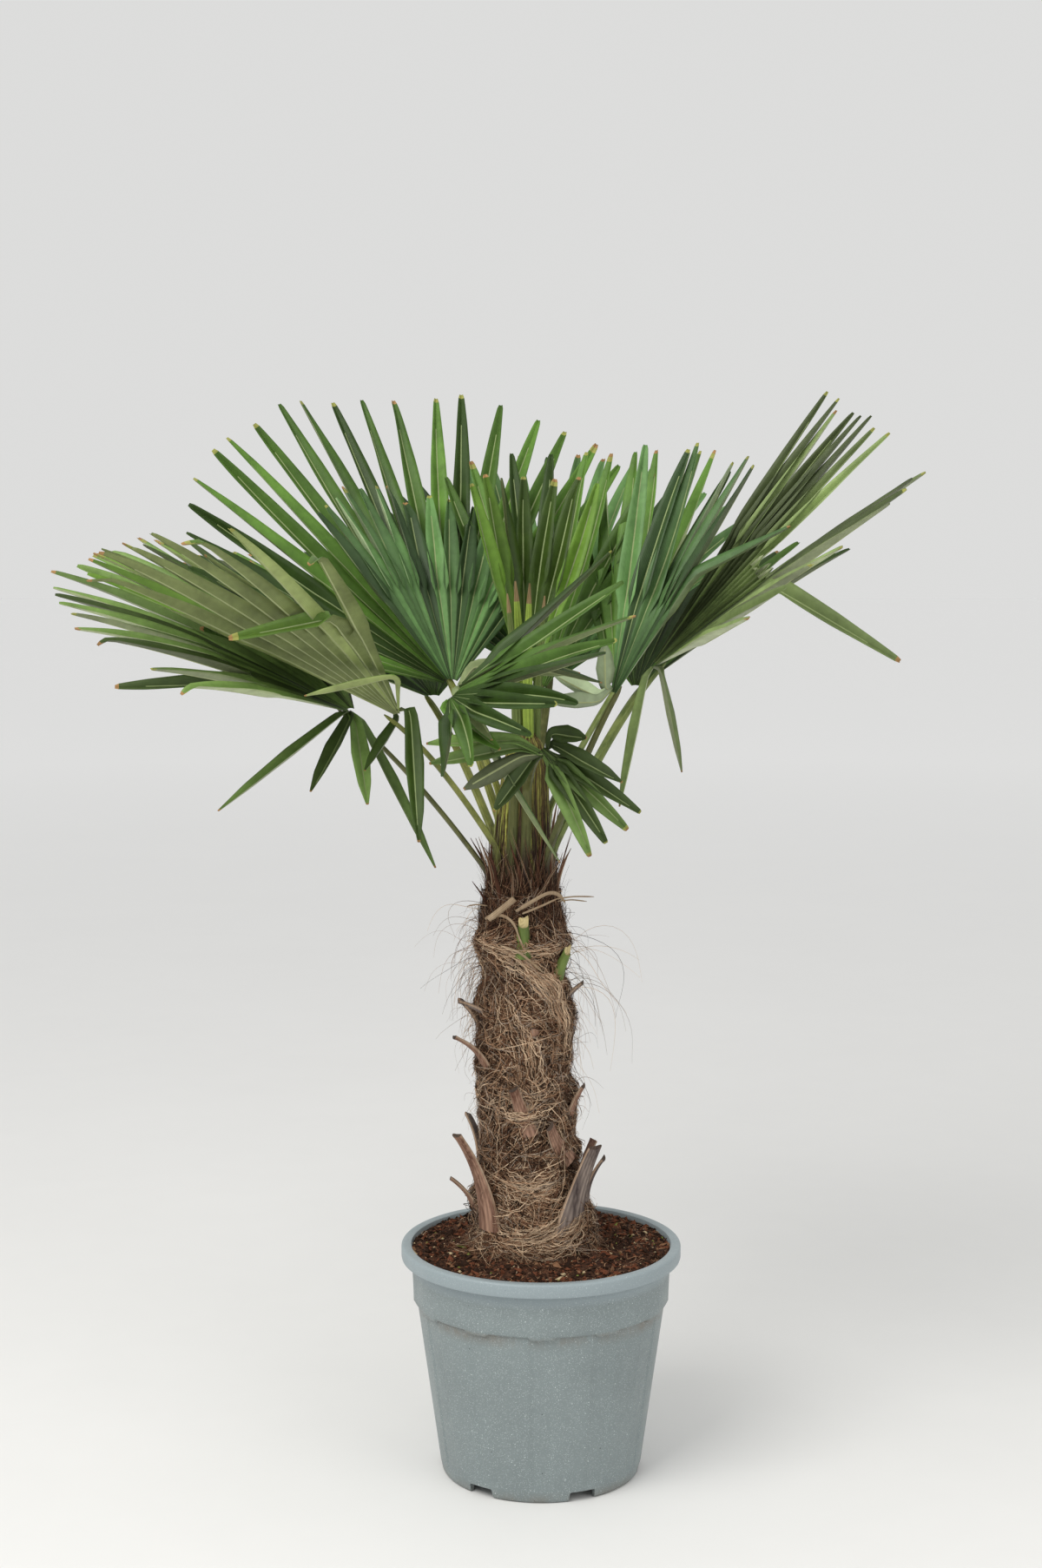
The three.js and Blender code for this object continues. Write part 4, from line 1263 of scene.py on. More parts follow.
@dataclass
class Compost:
    """The compost in the pot: a lumpy top with crumbs, chips and short fibres on it."""

    ground: Material
    crumb_finishes: Sequence[Material]
    floor: float = 0.0173
    foot_radius: float = 0.124
    shoulder_radius: float = 0.153
    shoulder: float = 0.218
    edge_radius: float = 0.1665
    top: float = 0.2925
    mound: float = 0.0045
    mound_radius: float = 0.1
    blend: float = 0.02
    waves: tuple[Point, ...] = (
        (61, 23, 0.0016), (-37, 71, 0.0015), (133, 92, 0.0011), (-160, 127, 0.0009),
        (251, -230, 0.0006),
    )
    crumbs: int = 5200
    crumb_shares: tuple[float, ...] = (0.47, 0.38, 0.11, 0.025, 0.015)
    crumb_seed: int = 41
    fibres: int = 1100
    fibre_points: int = 5
    fibre_shares: tuple[float, ...] = (0.07, 0.23, 0.5, 0.2)
    fibre_seed: int = 42
    rings: int = 46
    sides: int = 160
    sharp: float = 50.0

    def height(self, x: Array, y: Array) -> Array:
        """Height of the uneven top.

        Args:
            x: Places to the right.
            y: Places to the back.

        Returns:
            The height at each place.
        """
        out = np.hypot(x, y)
        inward = self.edge_radius - out
        rise = self.mound * ease(inward / (self.edge_radius - self.mound_radius))
        waves = np.zeros_like(out)
        for k, (across, back, size) in enumerate(self.waves):
            waves = waves + size * np.sin(across * x + back * y + 1.7 * k)
        return self.top + rise + waves * ease(inward / self.blend + 0.2)

    def body(self) -> Object:
        """The closed body of compost with its lumpy top.

        Returns:
            The piece.
        """
        turn = np.linspace(0, FULL_TURN, self.sides + 1)
        rows = [
            around(turn, 0.0, self.floor),
            around(turn, self.foot_radius, self.floor),
            around(turn, self.shoulder_radius, self.shoulder),
        ]
        for radius in np.linspace(self.edge_radius, 0.0, self.rings):
            height = self.height(radius * np.cos(turn), radius * np.sin(turn))
            rows.append(around(turn, radius, height))
        bm = bmesh.new()
        loft(bm, np.array(rows), closed=True)
        bmesh.ops.remove_doubles(bm, verts=bm.verts, dist=POLE_MERGE)
        harden(bm, self.sharp)
        return piece(bm, "compost_body", [self.ground])

    def scatter(self, rng: Generator, count: int, inner: float, outer: float) -> Array:
        """Places on the compost between two radii.

        Args:
            rng: The source of chance.
            count: How many places.
            inner: The smallest radius.
            outer: The largest radius.

        Returns:
            One row for each place.
        """
        radius = np.sqrt(rng.uniform(inner**2, outer**2, count))
        turn = rng.uniform(0, FULL_TURN, count)
        x, y = radius * np.cos(turn), radius * np.sin(turn)
        return np.stack([x, y, self.height(x, y)], -1)

    def crumb_mesh(self) -> Mesh:
        """Crumbs and bark chips: flattened, crooked eight-faced lumps.

        Returns:
            One mesh of all of them.
        """
        rng, count = default_rng(self.crumb_seed), self.crumbs
        corners = np.array(
            [[1, 0, 0], [0, 1, 0], [-1, 0, 0], [0, -1, 0], [0, 0, 1], [0, 0, -1]], float
        )
        faces = np.array(
            [[0, 1, 4], [1, 2, 4], [2, 3, 4], [3, 0, 4], [1, 0, 5], [2, 1, 5], [3, 2, 5], [0, 3, 5]]
        )
        places = self.scatter(rng, count, 0.05, self.edge_radius + 0.001)
        size = rng.gamma(2.2, 0.00095, count).clip(0.0008, 0.0065)
        stretch = rng.uniform([0.7, 0.5, 0.3], [1.5, 1.0, 0.7], (count, 3)) * size[:, None]
        lumps = corners[None] * rng.uniform(0.7, 1.25, (count, 6, 1)) * stretch[:, None, :]
        turn, tip = rng.uniform(0, FULL_TURN, count), rng.normal(0, 0.5, count)
        x, z = swung(lumps[..., 0], lumps[..., 2], tip[:, None])
        x, y = swung(x, lumps[..., 1], turn[:, None])
        lumps = np.stack([x, y, z], -1) + places[:, None, :] + 0.25 * UP * size[:, None, None]
        mesh = bpy.data.meshes.new("compost_crumbs")
        all_faces = (np.arange(count)[:, None, None] * len(corners) + faces[None]).reshape(-1, 3)
        mesh.from_pydata(lumps.reshape(-1, 3).tolist(), [], all_faces.tolist())
        tints = rng.choice(len(self.crumb_shares), count, p=self.crumb_shares)
        mesh.polygons.foreach_set("material_index", np.repeat(tints, len(faces)).astype(np.int32))
        mesh.update()
        return mesh

    def fibre_mesh(self) -> Mesh:
        """Short dry fibres that lie on the compost.

        Returns:
            One mesh of all of them.
        """
        rng, count = default_rng(self.fibre_seed), self.fibres
        points = self.fibre_points
        places = self.scatter(rng, count, 0.07, self.edge_radius - 0.002)
        turn = rng.uniform(0, FULL_TURN, count)[:, None]
        turn = turn + np.linspace(-0.5, 0.5, points) * rng.normal(0, 1.2, (count, 1))
        step = rng.uniform(0.0015, 0.006, (count, 1))
        paths = places[:, None, :] + np.cumsum(around(turn, step, 0.0), axis=1)
        out = np.hypot(paths[..., 0], paths[..., 1])
        paths[..., :2] *= (np.minimum(out, self.edge_radius - 0.001) / out)[..., None]
        lift = rng.uniform(0.0005, 0.0025, (count, points))
        paths[..., 2] = self.height(paths[..., 0], paths[..., 1]) + lift
        widths = rng.uniform(0.0003, 0.0009, (count, 1)) * np.ones(points)
        tints = rng.choice(len(self.fibre_shares), count, p=self.fibre_shares)
        facing = UP + rng.normal(0, 0.4, (count, points, 3))
        return Strands(paths, widths, facing, tints).mesh("compost_fibres")

    def build(self, fibre_finishes: Sequence[Material]) -> None:
        """Makes the compost, its crumbs and its fibres.

        Args:
            fibre_finishes: The finishes of the trunk's fibres.
        """
        dress(self.body(), "soil", "soil")
        dress(placed(self.crumb_mesh(), "compost_crumbs", self.crumb_finishes), "soil")
        dress(placed(self.fibre_mesh(), "compost_fibres", fibre_finishes), "soil")


# --- trunk ---


@dataclass(frozen=True)
class Column:
    """An upright round body, given by (height, middle along X, radius) of its rings."""

    rings: tuple[Point, ...]

    def lean(self, height: Array | float) -> Array:
        """How far the body's middle is off along X at a height."""
        return follow([(z, x) for z, x, _ in self.rings], height)

    def radius(self, height: Array | float) -> Array:
        """Radius of the body at a height."""
        return follow([(z, r) for z, _, r in self.rings], height)


@dataclass(frozen=True)
class TrunkForm(Column):
    """The lumpy surface of the trunk, that its core, its fibres and its leaf bases share."""

    rings: tuple[Point, ...] = (
        (0.2966, -0.010, 0.082),
        (0.328, -0.011, 0.0765),
        (0.360, -0.014, 0.072),
        (0.402, -0.015, 0.063),
        (0.446, -0.017, 0.0595),
        (0.515, -0.021, 0.0555),
        (0.594, -0.021, 0.0565),
        (0.640, -0.021, 0.053),
        (0.696, -0.025, 0.054),
        (0.718, -0.025, 0.051),
        (0.738, -0.025, 0.044),
    )
    bottom: float = 0.2946
    top: float = 0.745
    tier_height: float = 0.056
    tier_step: float = 0.0058
    tier_slope: float = 0.024
    tier_end: float = 0.72
    lumps: tuple[Point, ...] = (
        (2, 21, 0.0016), (3, -47, 0.0014), (5, 64, 0.0012), (-4, 93, 0.0012), (7, -120, 0.0008),
        (1, 150, 0.001),
    )
    collars: tuple[Point, ...] = (
        (0.694, 0.010, 0.0065), (0.652, 0.009, -0.004), (0.598, 0.010, 0.003),
        (0.500, 0.012, 0.002),
    )
    collar_slope: float = 0.006

    def tier(self, turn: Array, height: Array) -> Array:
        """How far up its tier of old leaf feet a place is, from 0 to 1."""
        return ((height + self.tier_slope * np.sin(turn + 31 * height)) / self.tier_height) % 1.0

    def bulge(self, turn: Array, height: Array) -> Array:
        """How far the surface stands out at an angle and a height.

        Args:
            turn: Angles in radians.
            height: Heights.

        Returns:
            The distances.
        """
        out = sum(size * np.sin(a * turn + b * height + 1.3 * a) for a, b, size in self.lumps)
        step = self.tier_step * (self.tier(turn, height) ** 2 - 0.4)
        slanted = height + self.collar_slope * np.sin(turn + 0.6)
        ring = sum(
            size * np.exp(-(((slanted - at) / width) ** 2)) for at, width, size in self.collars
        )
        return out + step * ease((self.tier_end - height) / 0.03) + ring

    def place(self, turn: Array, height: Array, out: Array | float = 0.0) -> Array:
        """Points on or over the surface."""
        reach = self.radius(height) + self.bulge(turn, height) + out
        return around(turn, reach, height, self.lean(height))


@dataclass(frozen=True)
class Tuft:
    """Free fibres: how many, from which angles and heights, how long, how steep and how limp."""

    count: int
    angles: Span
    heights: Span
    lengths: Span
    rises: Span
    droop: float


@dataclass
class Trunk:
    """The trunk: a dark core wrapped in several layers of brown fibre."""

    form: TrunkForm
    core_finish: Material
    fibre_finishes: Sequence[Material]
    core_sides: int = 96
    core_rings: int = 150
    core_depth: float = 0.002
    mat_fibres: int = 31000
    mat_points: int = 7
    mat_shares: tuple[float, ...] = (0.17, 0.28, 0.25, 0.16, 0.14)
    mat_seed: int = 7
    # Painted shade in the fibre mat: how far into each tier the shade under its overhang reaches,
    # and how much shade the crown casts from which height.
    tier_shade_edge: float = 0.3
    crown_shade: float = 0.34
    crown_shade_start: float = 0.672
    loose_points: int = 15
    loose_shares: tuple[float, ...] = (0.22, 0.3, 0.25, 0.08, 0.15)
    loose_seed: int = 11
    bundle_points: int = 26
    bundle_shares: tuple[float, ...] = (0.6, 0.25, 0.05, 0.0, 0.1)
    bundle_radius: float = 0.06
    bundle_seed: int = 17
    skirt_fibres: int = 950
    skirt_points: int = 7
    skirt_shares: tuple[float, ...] = (0.05, 0.2, 0.45, 0.24, 0.06)
    skirt_radius: float = 0.081
    skirt_middle: float = -0.010
    skirt_floor: float = 0.2955
    skirt_seed: int = 23
    fringe_fibres: int = 4200
    fringe_points: int = 8
    fringe_shares: tuple[float, ...] = (0.02, 0.08, 0.34, 0.52, 0.04)
    fringe_radii: Curve = ((0.66, 0.054), (0.735, 0.047), (0.75, 0.041), (0.86, 0.036))
    fringe_middle: float = -0.025
    fringe_seed: int = 13

    def finish(self, strands: Strands, name: str) -> None:
        """Makes fibres a piece of the trunk."""
        dress(placed(strands.mesh(name), name, self.fibre_finishes), "trunk")

    def build_core(self) -> None:
        """Makes the core under the fibres."""
        form = self.form
        turn = np.linspace(0, FULL_TURN, self.core_sides + 1)
        heights = np.linspace(form.bottom, form.top, self.core_rings)
        rows = [form.place(turn, np.full_like(turn, z), -self.core_depth) for z in heights]
        bm = bmesh.new()
        loft(bm, np.array(rows), closed=True, capped=True)
        dress(piece(bm, "trunk_core", [self.core_finish]), "trunk", "trunk")

    def grain(self, turn: Array, height: Array) -> Array:
        """The main slope of the fibres at a place, in radians.

        Args:
            turn: Angles round the trunk.
            height: Heights.

        Returns:
            The slopes.
        """
        sweep = 0.75 * np.sin(2 * turn + 26 * height) + 0.5 * np.sin(3 * turn - 41 * height + 1.0)
        low = ease((height - 0.33) / 0.14)
        return sweep * (0.35 + 0.65 * low)

    def painted_shade(self, turn: Array, height: Array) -> Array:
        """How much painted shade a place gets, from 0 to about 1: in pits of the mat, under each
        tier's overhang and under the crown.

        Args:
            turn: Angles round the trunk.
            height: Heights.

        Returns:
            The shares.
        """
        # Painted shade: dark pits in the mat (waves), the recess under each tier's overhang (step)
        # and the shade under the crown.
        waves = (
            np.sin(4 * turn + 92 * height)
            + np.sin(-6 * turn + 131 * height + 1.0)
            + np.sin(9 * turn + 61 * height + 2.0)
        )
        step = ease((self.tier_shade_edge - self.form.tier(turn, height)) / self.tier_shade_edge)
        under_crown = self.crown_shade * ease((height - self.crown_shade_start) / 0.03)
        return 0.33 * waves.clip(0) + 0.75 * step + under_crown

    def mat(self, rng: Generator, low: float, high: float, count: int) -> Strands:
        """A part of the fibre mat.

        Args:
            rng: The source of chance.
            low: Lowest start of a fibre.
            high: Highest start of a fibre.
            count: How many fibres.

        Returns:
            The fibres.
        """
        form, steps = self.form, self.mat_points
        turn = rng.uniform(0, FULL_TURN, count)
        height = rng.uniform(low, high, count)
        length = rng.gamma(4.0, 0.014, count).clip(0.02, 0.12)
        layer = rng.uniform(0, 1, count)
        side = np.where(rng.uniform(0, 1, count) < 0.5, 1.0, -1.0)
        slope = self.grain(turn, height) + side * rng.uniform(0.15, 0.75, count)
        slope = slope + rng.normal(0, 0.18, count)
        curve = rng.normal(0, 1.5, count)
        step = length / (steps - 1)
        turns, heights = [turn], [height]
        for _ in range(steps - 1):
            slope = slope + curve / (steps - 1)
            height = (height + np.sin(slope) * step).clip(form.bottom + 0.001, form.top + 0.012)
            turn = turn + np.cos(slope) * step / form.radius(height)
            turns.append(turn)
            heights.append(height)
        turns, heights = np.stack(turns, 1), np.stack(heights, 1)
        t = np.linspace(0, 1, steps)
        arch = rng.exponential(0.0016, count)[:, None] * np.sin(math.pi * t)[None, :]
        out = (-0.0012 + 0.0042 * layer)[:, None] + arch + rng.normal(0, 0.0003, (count, steps))
        paths = form.place(turns, heights, out)
        facing = around(turns, 1.0, 0.0) + rng.normal(0, 0.35, (count, 1, 3))
        taper = follow(((0, 0.4), (0.2, 1.0), (0.8, 1.0), (1, 0.35)), t)
        widths = rng.uniform(0.0004, 0.00105, (count, 1)) * taper
        tints = rng.choice(len(self.mat_shares), count, p=self.mat_shares)
        deep = (layer < 0.5) & (rng.uniform(0, 1, count) < 0.85)
        tints[deep] = rng.choice([FibreTint.BROWN, FibreTint.DARK, FibreTint.DARK], deep.sum())
        middle = steps // 2
        # Painted shade: fibres in the shaded pits, under the overhangs and under the crown get
        # brown and dark tints.
        painted_shade = self.painted_shade(turns[:, middle], heights[:, middle]) > rng.uniform(0.25, 1.0, count)
        shaded = painted_shade & (layer < 0.9)
        tints[shaded] = rng.choice([FibreTint.BROWN, FibreTint.DARK], shaded.sum())
        return Strands(paths, widths, facing, tints)

    def build_mat(self) -> None:
        """Makes the two halves of the fibre mat."""
        rng = default_rng(self.mat_seed)
        low, high = self.form.bottom, self.form.top
        middle = mix(low, high, 0.5)
        self.finish(self.mat(rng, low, middle, self.mat_fibres // 2), "fibre_mat_lower")
        self.finish(self.mat(rng, middle, high, self.mat_fibres // 2), "fibre_mat_upper")

    def loose(self, rng: Generator, tuft: Tuft) -> Strands:
        """Fibres that leave the trunk and hang free in curls.

        Args:
            rng: The source of chance.
            tuft: Where they start and how they hang.

        Returns:
            The fibres.
        """
        count, points = tuft.count, self.loose_points
        shortest, longest = tuft.lengths
        turn = np.radians(rng.uniform(*tuft.angles, count))
        height = rng.uniform(*tuft.heights, count)
        lengths = rng.uniform(0, 1, count) ** 1.6 * (longest - shortest) + shortest
        lift = np.radians(rng.uniform(*tuft.rises, count))
        direction = around(turn + rng.normal(0, 0.5, count), np.cos(lift), np.sin(lift))
        curl = rng.normal(0, 1.0, (count, 3)) * 1.5
        wander = rng.normal(0, 1.0, (count, 3)) * 2.0
        weight = tuft.droop * rng.uniform(0.3, 1.3, count)[:, None]
        place = self.form.place(turn, height, -self.core_depth)
        path = [place]
        for k in range(points - 1):
            t = k / (points - 1)
            bend = curl * math.cos(5 * t) + wander * math.sin(7 * t) - UP * weight
            direction = unit(direction + bend / points)
            place = place + direction * (lengths / (points - 1))[:, None]
            path.append(place)
        widths = rng.uniform(0.0004, 0.0008, (count, 1)) * (1 - 0.7 * np.linspace(0, 1, points))
        tints = rng.choice(len(self.loose_shares), count, p=self.loose_shares)
        facing = np.broadcast_to(rng.normal(0, 1, (count, 1, 3)), (count, points, 3))
        return Strands(np.stack(path, 1), widths, facing, tints, sides=3)

    def build_loose(self) -> None:
        """Makes the free fibres, tuft by tuft."""
        rng = default_rng(self.loose_seed)
        tufts = {
            "loose_fibres_left": (
                Tuft(60, (165, 215), (0.645, 0.69), (0.05, 0.125), (-5, 40), 6.0),
                Tuft(40, (160, 210), (0.56, 0.64), (0.02, 0.07), (-40, 30), 4.0),
                Tuft(26, (165, 215), (0.69, 0.74), (0.05, 0.12), (10, 60), 5.0),
            ),
            "loose_fibres_right": (
                Tuft(34, (-25, 20), (0.62, 0.71), (0.04, 0.17), (5, 60), 4.0),
                Tuft(34, (-25, 25), (0.5, 0.64), (0.03, 0.1), (-50, 20), 4.0),
            ),
            "loose_fibres_around": (
                Tuft(420, (0, 360), (0.33, 0.73), (0.008, 0.04), (-60, 60), 3.0),
                Tuft(170, (-150, -30), (0.36, 0.73), (0.02, 0.07), (-60, 60), 6.0),
                Tuft(110, (20, 160), (0.45, 0.72), (0.03, 0.11), (-20, 50), 5.0),
            ),
        }
        for name, group in tufts.items():
            self.finish(Strands.joined([self.loose(rng, tuft) for tuft in group]), name)

    def bundle(self, rng: Generator, knots: Curve, count: int, spread: float) -> Strands:
        """Long straw-coloured fibres that lie together over the mat.

        Args:
            rng: The source of chance.
            knots: (angle in degrees, height) of the places they run through.
            count: How many fibres.
            spread: How far they stray to the sides, in metres.

        Returns:
            The fibres.
        """
        points, radius = self.bundle_points, self.bundle_radius
        coarse = Line(np.array([(math.radians(angle) * radius, z, 0.0) for angle, z in knots]))
        spine = coarse.smoothed(60, 60)
        first = rng.uniform(0, 0.45, count)
        last = first + rng.uniform(0.3, 0.6, count)
        share = np.linspace(first, np.minimum(last, 1.0), points, axis=1)
        stray = rng.normal(0, spread, (count, 2))[:, None, :]
        stray = stray + np.cumsum(rng.normal(0, 0.0011, (count, points, 2)), axis=1)
        flat = spine.at(share * spine.length)[..., :2] + stray
        turn, height = flat[..., 0] / radius, flat[..., 1]
        out = 0.003 + rng.exponential(0.0016, (count, 1)) + 0.003 * np.sin(math.pi * share)
        paths = self.form.place(turn, height, out)
        taper = np.sin(np.linspace(0.35, 2.9, points))
        widths = rng.uniform(0.0005, 0.0011, (count, 1)) * taper
        tints = rng.choice(len(self.bundle_shares), count, p=self.bundle_shares)
        facing = around(turn, 1.0, 0.0) + rng.normal(0, 0.2, (count, 1, 3))
        return Strands(paths, widths, facing, tints)

    def build_bundles(self) -> None:
        """Makes the bundles of long fibres that sweep over the mat, in front and round the back."""
        rng = default_rng(self.bundle_seed)
        sweeps = (
            (((-128, 0.700), (-88, 0.676), (-50, 0.640), (-34, 0.585), (-38, 0.505)), 64, 0.0055),
            (((-120, 0.672), (-80, 0.650), (-48, 0.600), (-42, 0.55)), 22, 0.006),
            (((-150, 0.700), (-100, 0.684), (-60, 0.690), (-10, 0.700)), 30, 0.0055),
            (((-120, 0.640), (-95, 0.600), (-84, 0.540), (-78, 0.500)), 26, 0.009),
            (((-140, 0.330), (-100, 0.318), (-60, 0.330), (-34, 0.362), (-26, 0.40)), 90, 0.009),
            (((-128, 0.405), (-95, 0.385), (-62, 0.392), (-40, 0.42)), 60, 0.008),
            (((-135, 0.500), (-100, 0.478), (-70, 0.486), (-45, 0.505)), 40, 0.007),
            (((20, 0.350), (70, 0.330), (120, 0.345), (165, 0.39)), 90, 0.008),
            (((10, 0.640), (60, 0.600), (110, 0.560), (160, 0.500)), 60, 0.006),
            (((30, 0.480), (80, 0.450), (130, 0.470), (175, 0.52)), 60, 0.007),
            (((15, 0.700), (80, 0.690), (140, 0.675), (200, 0.69)), 60, 0.005),
        )
        self.finish(Strands.joined([self.bundle(rng, *sweep) for sweep in sweeps]), "fibre_bundles")

    def build_skirt(self) -> None:
        """Makes the fibres that splay from the trunk's foot over the compost."""
        rng, count = default_rng(self.skirt_seed), self.skirt_fibres
        turn = rng.uniform(0, FULL_TURN, count)
        left = rng.uniform(0, 1, count) < 0.3
        turn[left] = np.radians(rng.normal(-140, 16, left.sum()))
        t = np.linspace(0, 1, self.skirt_points)
        length = rng.gamma(3.0, 0.0052, count).clip(0.006, 0.038)[:, None]
        top = rng.uniform(0.298, 0.325, count)[:, None]
        turns = turn[:, None] + rng.normal(0, 0.35, count)[:, None] * t
        reach = self.skirt_radius + length * t**1.3
        heights = np.maximum(top - length * 1.1 * t**0.7, self.skirt_floor)
        heights = heights + rng.uniform(0, 0.003, (count, 1))
        paths = around(turns, reach, heights, self.skirt_middle)
        widths = rng.uniform(0.0004, 0.0009, (count, 1)) * (1 - 0.6 * t)
        tints = rng.choice(len(self.skirt_shares), count, p=self.skirt_shares)
        facing = around(turns, 1.0, 1.0) + rng.normal(0, 0.4, (count, 1, 3))
        self.finish(Strands(paths, widths, facing, tints), "foot_skirt")

    def build_fringe(self) -> None:
        """Makes the fringe of upright fibres round the foot of the crown shaft."""
        rng, count = default_rng(self.fringe_seed), self.fringe_fibres
        turn = rng.uniform(0, FULL_TURN, count)
        start = rng.uniform(0.685, 0.748, count)
        length = rng.gamma(3.0, 0.014, count).clip(0.015, 0.11)
        t = np.linspace(0, 1, self.fringe_points)
        slant = rng.normal(0, 0.55, count)[:, None]
        heights = start[:, None] + length[:, None] * t * np.cos(slant)
        flare = rng.gamma(1.2, 0.0035, count)[:, None] * t**1.6
        reach = follow(self.fringe_radii, heights) + flare
        reach = reach + rng.uniform(-0.003, 0.006, count)[:, None]
        turns = turn[:, None] + length[:, None] * np.sin(slant) * t / 0.045
        paths = around(turns, reach, heights, self.fringe_middle)
        widths = rng.uniform(0.0004, 0.001, (count, 1)) * (1 - 0.55 * t)
        facing = around(turns, 1.0, 0.0) + rng.normal(0, 0.4, (count, 1, 3))
        tints = rng.choice(len(self.fringe_shares), count, p=self.fringe_shares)
        self.finish(Strands(paths, widths, facing, tints), "crown_fringe")

    def build(self) -> None:
        """Makes the core and all its fibres."""
        self.build_core()
        self.build_mat()
        self.build_bundles()
        self.build_loose()
        self.build_skirt()
        self.build_fringe()


@dataclass(frozen=True)
class Base:
    """An old leaf base, sawn off: where it stands, how long it is, how it leans and looks."""

    angle: float
    height: float
    length: float
    lean: float
    width: float
    look: BaseLook = BaseLook.RUSSET
    curl: float = 0.0
    tilt: float = 0.0
    cut: float = 0.002
    thickness: float = 0.009


@dataclass
class LeafBases:
    """The sawn leaf bases all round the trunk."""

    form: TrunkForm
    finishes: Sequence[Material]
    knob: Point = (-76.5, 0.585, 0.0065)
    knob_out: float = 0.003
    knob_shape: Point = (0.8, 1.0, 1.15)
    sunk: float = 0.014
    stands_out: float = 0.0007
    points: int = 14
    rows: int = 16
    skew: float = 0.0016
    sharp: float = 42.0
    widths: Curve = ((0, 1.3), (0.2, 1.12), (0.5, 0.8), (0.8, 0.64), (1, 0.58))
    depths: Curve = ((0, 1.6), (0.4, 1.15), (1, 0.8))
    front: tuple[Base, ...] = (
        Base(-138, 0.342, 0.130, 20, 0.032, BaseLook.RUSSET, 0.34),
        Base(-165, 0.350, 0.052, 34, 0.022, BaseLook.RUSSET, 0.4),
        Base(-50, 0.338, 0.108, 12, 0.038, BaseLook.GREY, 0.2, 10),
        Base(-12, 0.352, 0.066, 14, 0.026, BaseLook.GREY, 0.5),
        Base(-92, 0.466, 0.056, 16, 0.022, BaseLook.RUSSET, 0.2, -15),
        Base(-44, 0.424, 0.060, 9, 0.024, BaseLook.RUSSET, 0.3, -38),
        Base(-150, 0.521, 0.074, 32, 0.022, BaseLook.RUSSET, 0.7),
        Base(-20, 0.470, 0.044, 20, 0.018, BaseLook.RUSSET, 0.3),
        Base(-158, 0.604, 0.038, 60, 0.020, BaseLook.GREY, 0.3),
        Base(-8, 0.622, 0.026, 42, 0.016, BaseLook.GREY, 0.3),
        Base(-88, 0.698, 0.030, 20, 0.022, BaseLook.GREEN, 0.0, 0, 0.02, 0.02),
        Base(-36, 0.664, 0.026, 30, 0.020, BaseLook.GREEN, 0.0, 0, 0.018, 0.017),
    )
    back_tilts: tuple[float, ...] = (12, -18, 8, -10, 20, -6, 0)

    def all(self) -> list[Base]:
        """The bases in front, then those round the back, a golden turn apart as a palm sets them.

        Returns:
            All the leaf bases.
        """
        back = [
            Base(
                (25 + GOLDEN_TURN * k) % 180,
                0.350 + 0.046 * k,
                0.074 - 0.006 * k,
                16 + 4 * k,
                0.032 - 0.002 * k,
                (BaseLook.RUSSET, BaseLook.GREY)[k % 2],
                0.35,
                tilt,
            )
            for k, tilt in enumerate(self.back_tilts)
        ]
        return [*self.front, *back]

    def section(self) -> Array:
        """Outline of a base: rounded outside, hollowed towards the trunk, with thin edges."""
        turn = np.arange(self.points) * FULL_TURN / self.points
        across, over = np.cos(turn), np.sin(turn)
        inner = 0.75 * over - 0.62 * (1 - across**2)
        return np.stack([across, np.where(over > 0.01, inner, over)], -1)

    def add(self, bm: BMesh, base: Base, paint: int) -> None:
        """Adds one base.

        Args:
            bm: The mesh.
            base: The base.
            paint: Material index of its skin.
        """
        level, beside = heading(base.angle, 0), heading(base.angle + 90, 0)
        upright = heading(base.angle, 90 - base.lean)
        axis, across = swung(upright, beside, -math.radians(base.tilt))
        middle = np.array([float(self.form.lean(base.height)), 0, base.height])
        foot = middle + level * (float(self.form.radius(base.height)) + self.stands_out)
        t = np.linspace(0, 1, self.rows + 1)
        whole = base.length + self.sunk
        spine = foot - axis * self.sunk + axis * (whole * t)[:, None]
        bow = base.curl * base.length * (t**2 - 0.85 * t)
        line = Line(spine + np.cross(across, axis) * bow[:, None])
        half = 0.5 * base.width * follow(self.widths, t)
        depth = 0.5 * base.thickness * follow(self.depths, t)
        places = tube(line, across, np.stack([t, half, depth], -1), self.section())
        ends = places[-1] - places[-1].mean(axis=0)
        slope = ends @ across / half[-1] * self.skew - ends @ level / depth[-1] * base.cut
        places[-1] += axis * slope[:, None]
        skin = np.full((self.rows, self.points), paint)
        fresh = base.look is BaseLook.GREEN
        if not fresh:
            left = self.points // 2
            skin[:, [0, left - 1, left, self.points - 1]] = BasePaint.MARGIN
        cut = BasePaint.FRESH if fresh else BasePaint.SAWN
        loft(bm, places, skin, closed=True, capped=True, cap_paint=cut)

    def add_knob(self, bm: BMesh) -> None:
        """Adds the round scar of a leaf that broke off whole."""
        angle, height, radius = self.knob
        turn = math.radians(angle)
        centre = self.form.place(np.array(turn), np.array(height), self.knob_out)
        matrix = Matrix.Translation(Vector(centre)) @ Matrix.Rotation(turn, 4, "Z")
        matrix = matrix @ Matrix.Diagonal((*self.knob_shape, 1.0))
        ball = bmesh.ops.create_icosphere(bm, subdivisions=3, radius=radius, matrix=matrix)["verts"]
        for face in {f for v in ball for f in v.link_faces}:
            face.smooth = True

    def build(self) -> None:
        """Makes all the bases as one piece."""
        bm = bmesh.new()
        order, bases = list(BaseLook), self.all()
        for base in bases:
            self.add(bm, base, order.index(base.look))
        self.add_knob(bm)
        harden(bm, self.sharp)
        made = piece(bm, "leaf_bases", self.finishes)
        dress(made, "leaf_base", *(f"leaf_base_{k + 1:02d}" for k in range(len(bases))))


# --- crown ---


